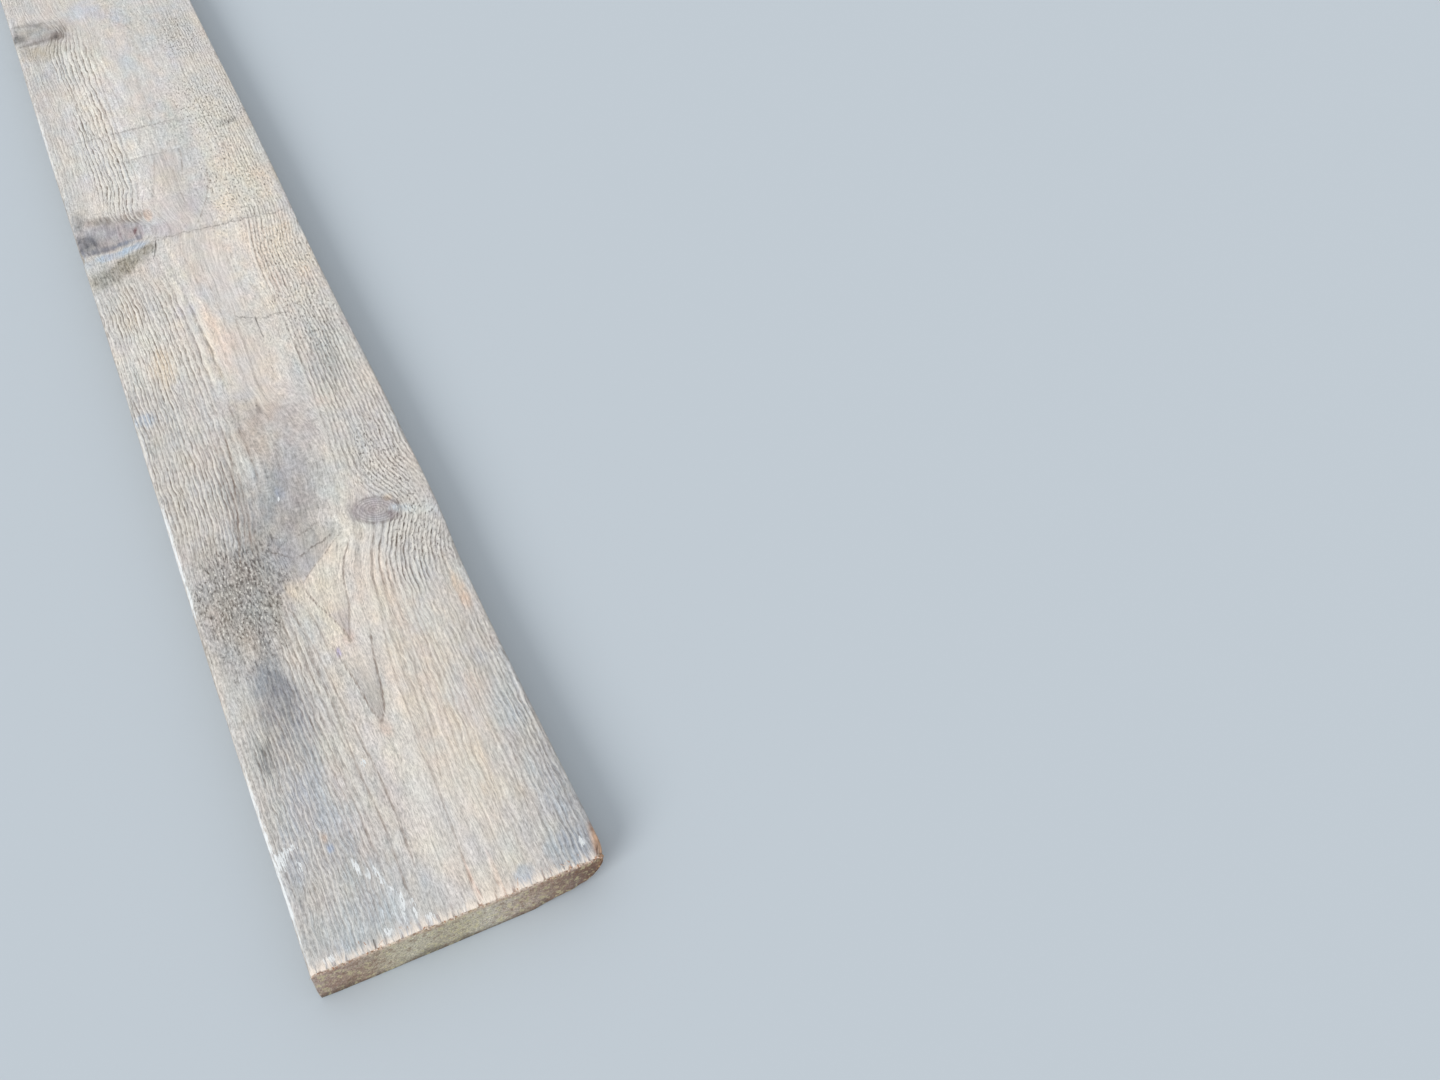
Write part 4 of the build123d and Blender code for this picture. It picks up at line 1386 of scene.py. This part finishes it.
# the crest: rubbed pale wood with a painted highlight
rubbed_and_lit_crest_share = crest * ridge_force * rise(streak, 0.36, 0.6, 0.45, 1.4) * 0.72
thin_share = rise(beyond_ring, 0.4, 1.7, 1.0, 0.0) * line_force * ring_force * 0.42
hard_band = (rise(phase, 0.4, 0.97) * rise(phase, 0.975, 1.0, 1.0, 0.0)) ** 1.6
band_share = hard_band * line_force * (1.0 - ridge_force) * ring_force
# painted shade and light: each valley darker, each crest a touch lighter
painted_valley_shade = 1.0 + (rise(phase, 0.05, 0.62, 0.80, 1.05) - 1.0) * ridge_force
line_place = read("line_gap") + swing(cobble, 1.6) + swing(fine_fibre, 1.2)
line_share = rise(line_place, 0.25, 1.35, 1.0, 0.0) * read("drawn") * rise(dash, 0.38, 0.55, 0.45, 0.8)

colour = shade(colour, painted_valley_shade)
colour = cover(colour, HARD_WOOD, band_share * 0.46)
colour = cover(colour, HARD_WOOD, thin_share)
colour = cover(colour, LINE_DARK, line_share)
colour = cover(colour, RUBBED_AND_LIT, rubbed_and_lit_crest_share)
colour = cover(colour, DIRT_AND_SHADE, dirt_and_shade_share)
print("nodes with the rings:", len(wood.nodes))

# %% [markdown]
# A few thin dark lines run across the plank. Those at 880, 1040 and 1100 mm were
# left where it lay on bearers for years, the two near 710 mm are short breaks, and
# the four near 400 mm are a fold where the rings of the grey wedge close. They
# cross the grain, so they are measured from the plank's place in space.

# %% Lines across the plank
CROSS_DARK = chart(108, 98, 92)
CROSS_LINES = [
    # along, how much it leans, where it starts and ends across, strength
    (880, -0.05, 78, 224, 0.34), (1039, 0.02, 60, 150, 0.20), (1099, 0.03, 20, 150, 0.24),
    (877, 0.0, 72, 92, 0.4), (719, -0.8, 122, 148, 0.45), (704, 0.0, 143, 184, 0.32),
    (399, -0.92, 70, 96, 0.5), (375, 0.46, 93, 137, 0.5), (410, -0.5, 78, 98, 0.35),
    (400, 0.35, 98, 128, 0.35),
]

axes = node(wood, "ShaderNodeSeparateXYZ", {0: place})
along_here = Value(axes, "X") * (1 / MM) + LENGTH / 2
across_here = Value(axes, "Y") * (-1 / MM) + WIDTH / 2
on_face = 1.0 - larger(end_share, under_share)
line_wander, gap_wander = swing(blotch, 11.0), swing(pebble, 6.0)
interrupted = rise(streak, 0.4, 0.56, 0.35, 1.3)
cross_share = 0.0
for line_along, leaning, first, last, strength in CROSS_LINES:
    line_here = (across_here - first) * leaning + line_along + line_wander
    gap = abs(along_here - line_here) + gap_wander
    share = rise(gap, 0.5, 2.0, strength, 0.0) * rise(across_here, first - 4, first + 8)
    share = share * rise(across_here, last - 14, last, 1.0, 0.0) * interrupted
    cross_share = larger(cross_share, share)
colour = cover(colour, CROSS_DARK, cross_share * on_face)
print("nodes with the lines across:", len(wood.nodes))

# %% [markdown]
# A knot has rings of its own, close together, and a dark rim where its bark was.

# %% Knots
KNOT_DARK = chart(108, 94, 92)

rim = read("knot_rim") + swing(blotch, 0.34)
knot_strength = read("knot_force")
inside_knot = rise(rim, 0.93, 1.03, 1.0, 0.0) * knot_strength
rim_line = rise(rim, 0.84, 1.0) * rise(rim, 1.02, 1.2, 1.0, 0.0)
rim_line = rim_line * knot_strength * rise(dash, 0.35, 0.6, 0.3, 1.0)
knot_phase = fraction(read("knot_ring") + swing(hair_fibre, 0.6))
knot_lines = rise(knot_phase, 0.35, 0.9) * inside_knot
colour = cover(colour, KNOT_DARK, knot_lines * 0.36)
colour = cover(colour, KNOT_DARK, rim_line * 0.5)
print("nodes with the knots:", len(wood.nodes))

# %% [markdown]
# Mould on weathered wood is a felt of short dark hairs, with grey wood between
# them. Rough places show pits: the mouths of torn fibres, and pale tufts by them.

# %% Mould and pits
MOULD_HAIRS, MOULD_GAPS = chart(84, 79, 74), chart(204, 200, 192)
PIT_DARK, TUFT_PALE = chart(112, 103, 95), chart(238, 234, 226)

felt = speckle(grain, (0.15, 0.44, 0.4), detail=4, roughness=0.62)
mould_here = read("mould")
felt_share = rise(felt, 0.46, 0.68) * mould_here
felt_light = rise(felt, 0.5, 0.32) * mould_here
colour = cover(colour, MOULD_HAIRS, felt_share * 0.66)
colour = cover(colour, MOULD_GAPS, felt_light * 0.52)

pit_noise = speckle(grain, (0.22, 0.55, 0.5), detail=3, roughness=0.6)
pit_share = rise(pit_noise, 0.55, 0.70) * (rough_here * 0.98 + 0.12) * restless
tuft_share = rise(pit_noise, 0.46, 0.32) * (rough_here * 0.88 + 0.12) * restless
colour = cover(colour, PIT_DARK, pit_share)
colour = cover(colour, TUFT_PALE, tuft_share)
print("nodes with the mould and pits:", len(wood.nodes))

# %% [markdown]
# Cracks are lines about a millimetre wide, cut where the stored distance is small.
# Paint is left only as chalky crumbs that lie along the grain, and as a thin smear
# on the left arris.

# %% Cracks and paint
CRACK_DARK, PAINT = chart(84, 75, 67), chart(243, 246, 247)

crack_gap = read("crack") + swing(fine_fibre, 1.6)
crack_share = rise(crack_gap, 0.15, 0.85, 1.0, 0.0)
colour = cover(colour, CRACK_DARK, crack_share * 0.65)

crumbs = speckle(grain, (0.12, 0.80, 0.6), detail=3, roughness=0.6)
splashed = rise(read("paint") * 0.36 + crumbs, 0.74, 0.82)
smeared = rise(read("edge_paint") * 0.6 + crumbs, 0.66, 1.0)
paint_share = larger(splashed, smeared)
colour = cover(colour, PAINT, paint_share * 0.92)
print("nodes with the cracks and paint:", len(wood.nodes))

# %% [markdown]
# A sawn end shows the ends of the fibres: a fine dark-and-light stipple with the
# rings as soft arcs. The lip above it is fresh wood: pale splinters, and rusty
# roots with painted shadow between them.

# %% Sawn ends
STIPPLE_BROWN, STIPPLE_STRAW, ARC_BROWN = chart(112, 84, 62), chart(222, 213, 168), chart(140, 112, 82)
# The second colour is rusty wood with painted shadow, for the gaps between the splinters of the lip.
SPLINTER_PALE, ROOT_RUST_AND_SHADOW = chart(250, 236, 222), chart(158, 116, 92)

stipple = speckle(place, (420, 620, 620), detail=4, roughness=0.65)
clump = speckle(place, (140, 230, 260), detail=3, roughness=0.65)
end_tone = 1.0 + swing(stipple, 2.3) + swing(clump, 0.8)
brown_spots = rise(clump, 0.52, 0.66) * rise(stipple, 0.4, 0.55, 0.45, 1.0)
end_arc = rise(phase, 0.55, 0.9) * rise(phase, 0.92, 1.0, 1.0, 0.0)
end_base = shade(plain_colour, end_tone)
end_base = cover(end_base, STIPPLE_BROWN, brown_spots * 0.7)
end_base = cover(end_base, STIPPLE_STRAW, rise(clump, 0.48, 0.38) * 0.5)
end_base = cover(end_base, ARC_BROWN, end_arc * 0.26)
colour = cover(colour, end_base, end_share)

splinter = speckle(grain, (0.035, 0.29, 0.3), detail=3, roughness=0.6)
fresh_here = read("fresh")
colour = cover(colour, SPLINTER_PALE, fresh_here * rise(splinter, 0.4, 0.54) * 0.95)
# rusty wood and painted shadow between the pale splinters
colour = cover(colour, ROOT_RUST_AND_SHADOW, fresh_here * rise(splinter, 0.46, 0.34) * 0.62)
print("nodes with the sawn ends:", len(wood.nodes))

# %% [markdown]
# The fine relief is a bump: the ridges that the mesh doesn't carry, the fibres,
# the pits and the stipple of the ends. The underside keeps the marks of the saw,
# a ripple a few millimetres long. Weathered wood is dull all over.

# %% Bump and roughness
BUMP_DEPTH = 0.4 * MM
SAW_RIPPLE = {"Scale": 72.0, "Distortion": 1.6, "Detail": 2.0}

ripple = node(
    wood,
    "ShaderNodeTexWave",
    {"Vector": place, **SAW_RIPPLE},
    wave_type="BANDS",
    bands_direction="X",
)
saw_marks = Value(ripple, "Fac") * under_share
not_carried = 1.0 - read("carried") * 0.6
height = crest * ridge_force * not_carried * 1.5
for relief, amount in (
    (fine_fibre, 1.3), (hair_fibre, 0.6), (dash, 0.8), (pebble, 2.6), (line_share, -0.8), (pit_share, -1.4),
    (felt_share, -0.6), (crack_share, -2.0), (paint_share, 0.4), (saw_marks, 0.8),
):
    height = height + relief * amount
height = height + (stipple + clump) * 1.4 * end_share
bump = node(wood, "ShaderNodeBump", {"Strength": 0.9, "Distance": BUMP_DEPTH, "Height": height})
dull = fine_fibre * 0.25 + 0.66
surface = node(
    wood,
    "ShaderNodeBsdfPrincipled",
    {"Base Color": colour, "Roughness": dull, "Specular IOR Level": 0.3, "Normal": Value(bump)},
)
node(wood, "ShaderNodeOutputMaterial", {"Surface": Value(surface)})
print("nodes in the finish:", len(wood.nodes))

# %% [markdown]
# ## Weathering with Geometry Nodes
#
# The ridges repeat over the whole face and follow the rings, so a node tree lowers
# the face between them. It reads the same ring number as the material. For every
# point it works out how deep the weather has eaten, and moves the point that far
# inwards, against its normal. Nothing is ever raised, so the plank stays within
# the size of the solid.

# %% Tree that weathers the face
def new_tree(name, inputs):
    """A Geometry Nodes tree with a geometry, named inputs and a material."""
    tree = bpy.data.node_groups.new(name, "GeometryNodeTree")
    for label, kind in {"Geometry": "Geometry", **inputs, "Material": "Material"}.items():
        tree.interface.new_socket(label, in_out="INPUT", socket_type="NodeSocket" + kind)
    tree.interface.new_socket("Geometry", in_out="OUTPUT", socket_type="NodeSocketGeometry")
    group = node(tree, "NodeGroupInput")
    return tree, {label: Value(group, label) for label in ("Geometry", *inputs, "Material")}


def stored(tree, name, kind="FLOAT"):
    """An attribute that the mesh carries, inside Geometry Nodes."""
    return Value(node(tree, "GeometryNodeInputNamedAttribute", {"Name": name}, data_type=kind), "Attribute")


def finish_tree(tree, geometry, given):
    """End a tree: real geometry instead of instances, then the material."""
    real = node(tree, "GeometryNodeRealizeInstances", {0: Value(geometry)})
    dressed = node(tree, "GeometryNodeSetMaterial", {"Geometry": Value(real), "Material": given["Material"]})
    node(tree, "NodeGroupOutput", {0: Value(dressed)})


def weathering_tree():
    """Lowers the wood between the growth rings, along the fibres and in the hollows."""
    sizes = ("Ridge height", "Fibre depth", "Pit depth", "End roughness")
    tree, given = new_tree("weathering", dict.fromkeys(sizes, "Float"))
    grain_place = stored(tree, "grain", "FLOAT_VECTOR")
    phase = fraction(stored(tree, "ring"))
    crest = rise(phase, 0.1, 0.72) * rise(phase, 0.84, 1.0, 1.0, 0.0)
    ridges = (1.0 - crest) * stored(tree, "ridged") * stored(tree, "carried") * given["Ridge height"]
    fibres = speckle(grain_place, (0.05, 0.45, 0.3)) * given["Fibre depth"]
    torn = rise(speckle(grain_place, (0.12, 0.30, 0.3)), 0.45, 0.70)
    pits = torn * stored(tree, "rough") * given["Pit depth"]
    end_noise = speckle(grain_place, (0.2, 0.35, 0.45))
    ends = end_noise * stored(tree, "is_end") * given["End roughness"]
    depth = ridges + fibres + pits + ends + stored(tree, "hollow")
    normal = Value(node(tree, "GeometryNodeInputNormal"))
    inwards = node(tree, "ShaderNodeVectorMath", {0: normal, "Scale": depth * -MM}, operation="SCALE")
    moved = node(tree, "GeometryNodeSetPosition", {"Geometry": given["Geometry"], "Offset": Value(inwards)})
    finish_tree(tree, moved, given)
    return tree


# %% [markdown]
# A modifier runs the tree on the plank. Its inputs are set by the identifiers of
# their sockets, before the plank is first evaluated, and then the result is made a
# plain mesh and the modifier is taken off.

# %% Run the tree
def run_tree(target, tree, values):
    """Run a Geometry Nodes tree on an object and keep the result as its mesh."""
    modifier = target.modifiers.new(tree.name, "NODES")
    modifier.node_group = tree
    for socket in tree.interface.items_tree:
        if socket.in_out == "INPUT" and socket.name in values:
            modifier[socket.identifier] = values[socket.name]
    depsgraph = bpy.context.evaluated_depsgraph_get()
    mesh = bpy.data.meshes.new_from_object(target.evaluated_get(depsgraph), depsgraph=depsgraph)
    target.modifiers.remove(modifier)
    mesh.name = target.name
    target.data = mesh


run_tree(plank, weathering_tree(), {
    "Ridge height": 0.60, "Fibre depth": 0.30, "Pit depth": 0.45, "End roughness": 0.7, "Material": material,
})
heights = np.array([v.co.z for v in plank.data.vertices])
print("points after weathering:", len(heights), "highest, in millimetres:", round(heights.max() / MM, 3))

# %% [markdown]
# ## Torn fibres
#
# The saw left a fringe of splinters along the top of the near end. They repeat
# along an edge, so Geometry Nodes set them: points along a line, a thin cone on
# each, turned and stretched by chance with a fixed seed.

# %% Fringe tree
def fringe_tree():
    """Sets thin tapered splinters along a line, pointing out of the sawn end."""
    tree, given = new_tree("torn_fringe", {
        "Count": "Int", "Shortest": "Float", "Longest": "Float", "Width": "Float", "Scatter": "Float",
        "Droop": "Float", "Seed": "Int",
    })

    def chance(low, high, salt):
        made = node(tree, "FunctionNodeRandomValue", {"Seed": given["Seed"] + salt}, data_type="FLOAT")
        low_socket, high_socket = [socket for socket in made.inputs if socket.enabled][:2]
        feed(tree, low_socket, low)
        feed(tree, high_socket, high)
        return Value(made, [socket.enabled for socket in made.outputs].index(True))

    def vector(x, y, z):
        return Value(node(tree, "ShaderNodeCombineXYZ", {0: x, 1: y, 2: z}))

    curve = Value(node(tree, "GeometryNodeMeshToCurve", {0: given["Geometry"]}))
    spots = node(tree, "GeometryNodeCurveToPoints", {"Curve": curve, "Count": given["Count"]}, mode="COUNT")
    far, near = given["Scatter"], given["Scatter"] * -1.0
    shift = vector(chance(near * 0.3, far * 1.6, 1), chance(near, far, 2), chance(near * 0.8, 0.0, 3))
    spots = node(tree, "GeometryNodeSetPosition", {"Geometry": Value(spots), "Offset": shift})
    cone = node(tree, "GeometryNodeMeshCone", {
        "Vertices": 5, "Side Segments": 2, "Radius Top": 0.12, "Radius Bottom": 0.5, "Depth": 1.0,
    })
    outwards, level = -math.pi / 2, 0.1
    pitch = chance(outwards + given["Droop"] * -1.0, outwards + level, 5)
    turn = vector(chance(-math.pi, math.pi, 4), pitch, chance(-0.2, 0.2, 6))
    length = chance(given["Shortest"], given["Longest"], 7)
    thick = chance(given["Width"] * 0.4, given["Width"], 8)
    fringe = node(tree, "GeometryNodeInstanceOnPoints", {
        "Points": Value(spots), "Instance": Value(cone, "Mesh"), "Rotation": turn,
        "Scale": vector(thick * 0.55, thick, length),
    })
    finish_tree(tree, fringe, given)
    return tree


# %% [markdown]
# The line that the fringe follows lies just under the top edge of the near end.
# Afterwards every point that would stick out of the sawn end or the worn face is
# moved back onto it, as if the saw had cut it there.

# %% Make the fringe
FRINGE_BACK, FRINGE_DEEP = 2.6, 1.3
FRINGE_START, FRINGE_END, FRINGE_SPOTS = 6, 214, 60
SAWN_CLEAR = 0.05           # how far the fringe stays inside the plank's own faces

fringe_across = np.linspace(FRINGE_START, FRINGE_END, FRINGE_SPOTS)
fringe_lean = NEAR_END_LEAN * (1 - fringe_across / WIDTH)
fringe_deep = FRINGE_DEEP + 0.5 * line_noise(fringe_across / 8, 71)
fringe_line = to_frame(FRINGE_BACK + fringe_lean, fringe_across, fringe_deep)
fringe_mesh = bpy.data.meshes.new("fringe_line")
fringe_mesh.from_pydata(fringe_line.tolist(), [(i, i + 1) for i in range(len(fringe_line) - 1)], [])
fringe = bpy.data.objects.new("torn_fibres", fringe_mesh)
bpy.context.scene.collection.objects.link(fringe)


def splinter_finish():
    """Pale torn wood, each splinter its own shade from straw to rust."""
    made = bpy.data.materials.new("torn_splinters")
    made.use_nodes = True
    tree = made.node_tree
    shader = tree.nodes["Principled BSDF"]
    place = Value(node(tree, "ShaderNodeTexCoord"), "Object")
    each = speckle(place, (30, 900, 200), detail=1.0)
    streak = speckle(place, (120, 3000, 3000))
    tone = cover(chart(176, 128, 98), chart(236, 222, 206), rise(each, 0.34, 0.66))
    tone = shade(tone, streak * 0.5 + 0.75)
    feed(tree, shader.inputs["Base Color"], tone)
    feed(tree, shader.inputs["Roughness"], streak * 0.2 + 0.65)
    shader.inputs["Specular IOR Level"].default_value = 0.3
    return made


run_tree(fringe, fringe_tree(), {
    "Count": 330,
    "Shortest": 2.4 * MM,
    "Longest": 8.0 * MM,
    "Width": 1.5 * MM,
    "Scatter": 1.0 * MM,
    "Droop": 0.36,
    "Seed": 7,
    "Material": splinter_finish(),
})


def keep_inside(target):
    """Move points that stand out of the plank back onto its end or its top."""
    places = np.array([v.co[:] for v in target.data.vertices])
    places_across = WIDTH / 2 - places[:, 1] / MM
    sawn = (-LENGTH / 2 + NEAR_END_LEAN * (1 - places_across / WIDTH) + SAWN_CLEAR) * MM
    places[:, 0] = np.maximum(places[:, 0], sawn)
    places[:, 2] = np.minimum(places[:, 2], (THICKNESS - SAWN_CLEAR) * MM)
    for vertex, place in zip(target.data.vertices, places):
        vertex.co = place
    target.data.update()


keep_inside(fringe)
print("points in the fringe:", len(fringe.data.vertices))

# %% [markdown]
# ## The plank in place
#
# The plank takes the place of the CAD solid, and the fringe goes with it.

# %% The plank in place
for piece in (plank, fringe):
    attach(piece, "root")
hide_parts("floorboard")
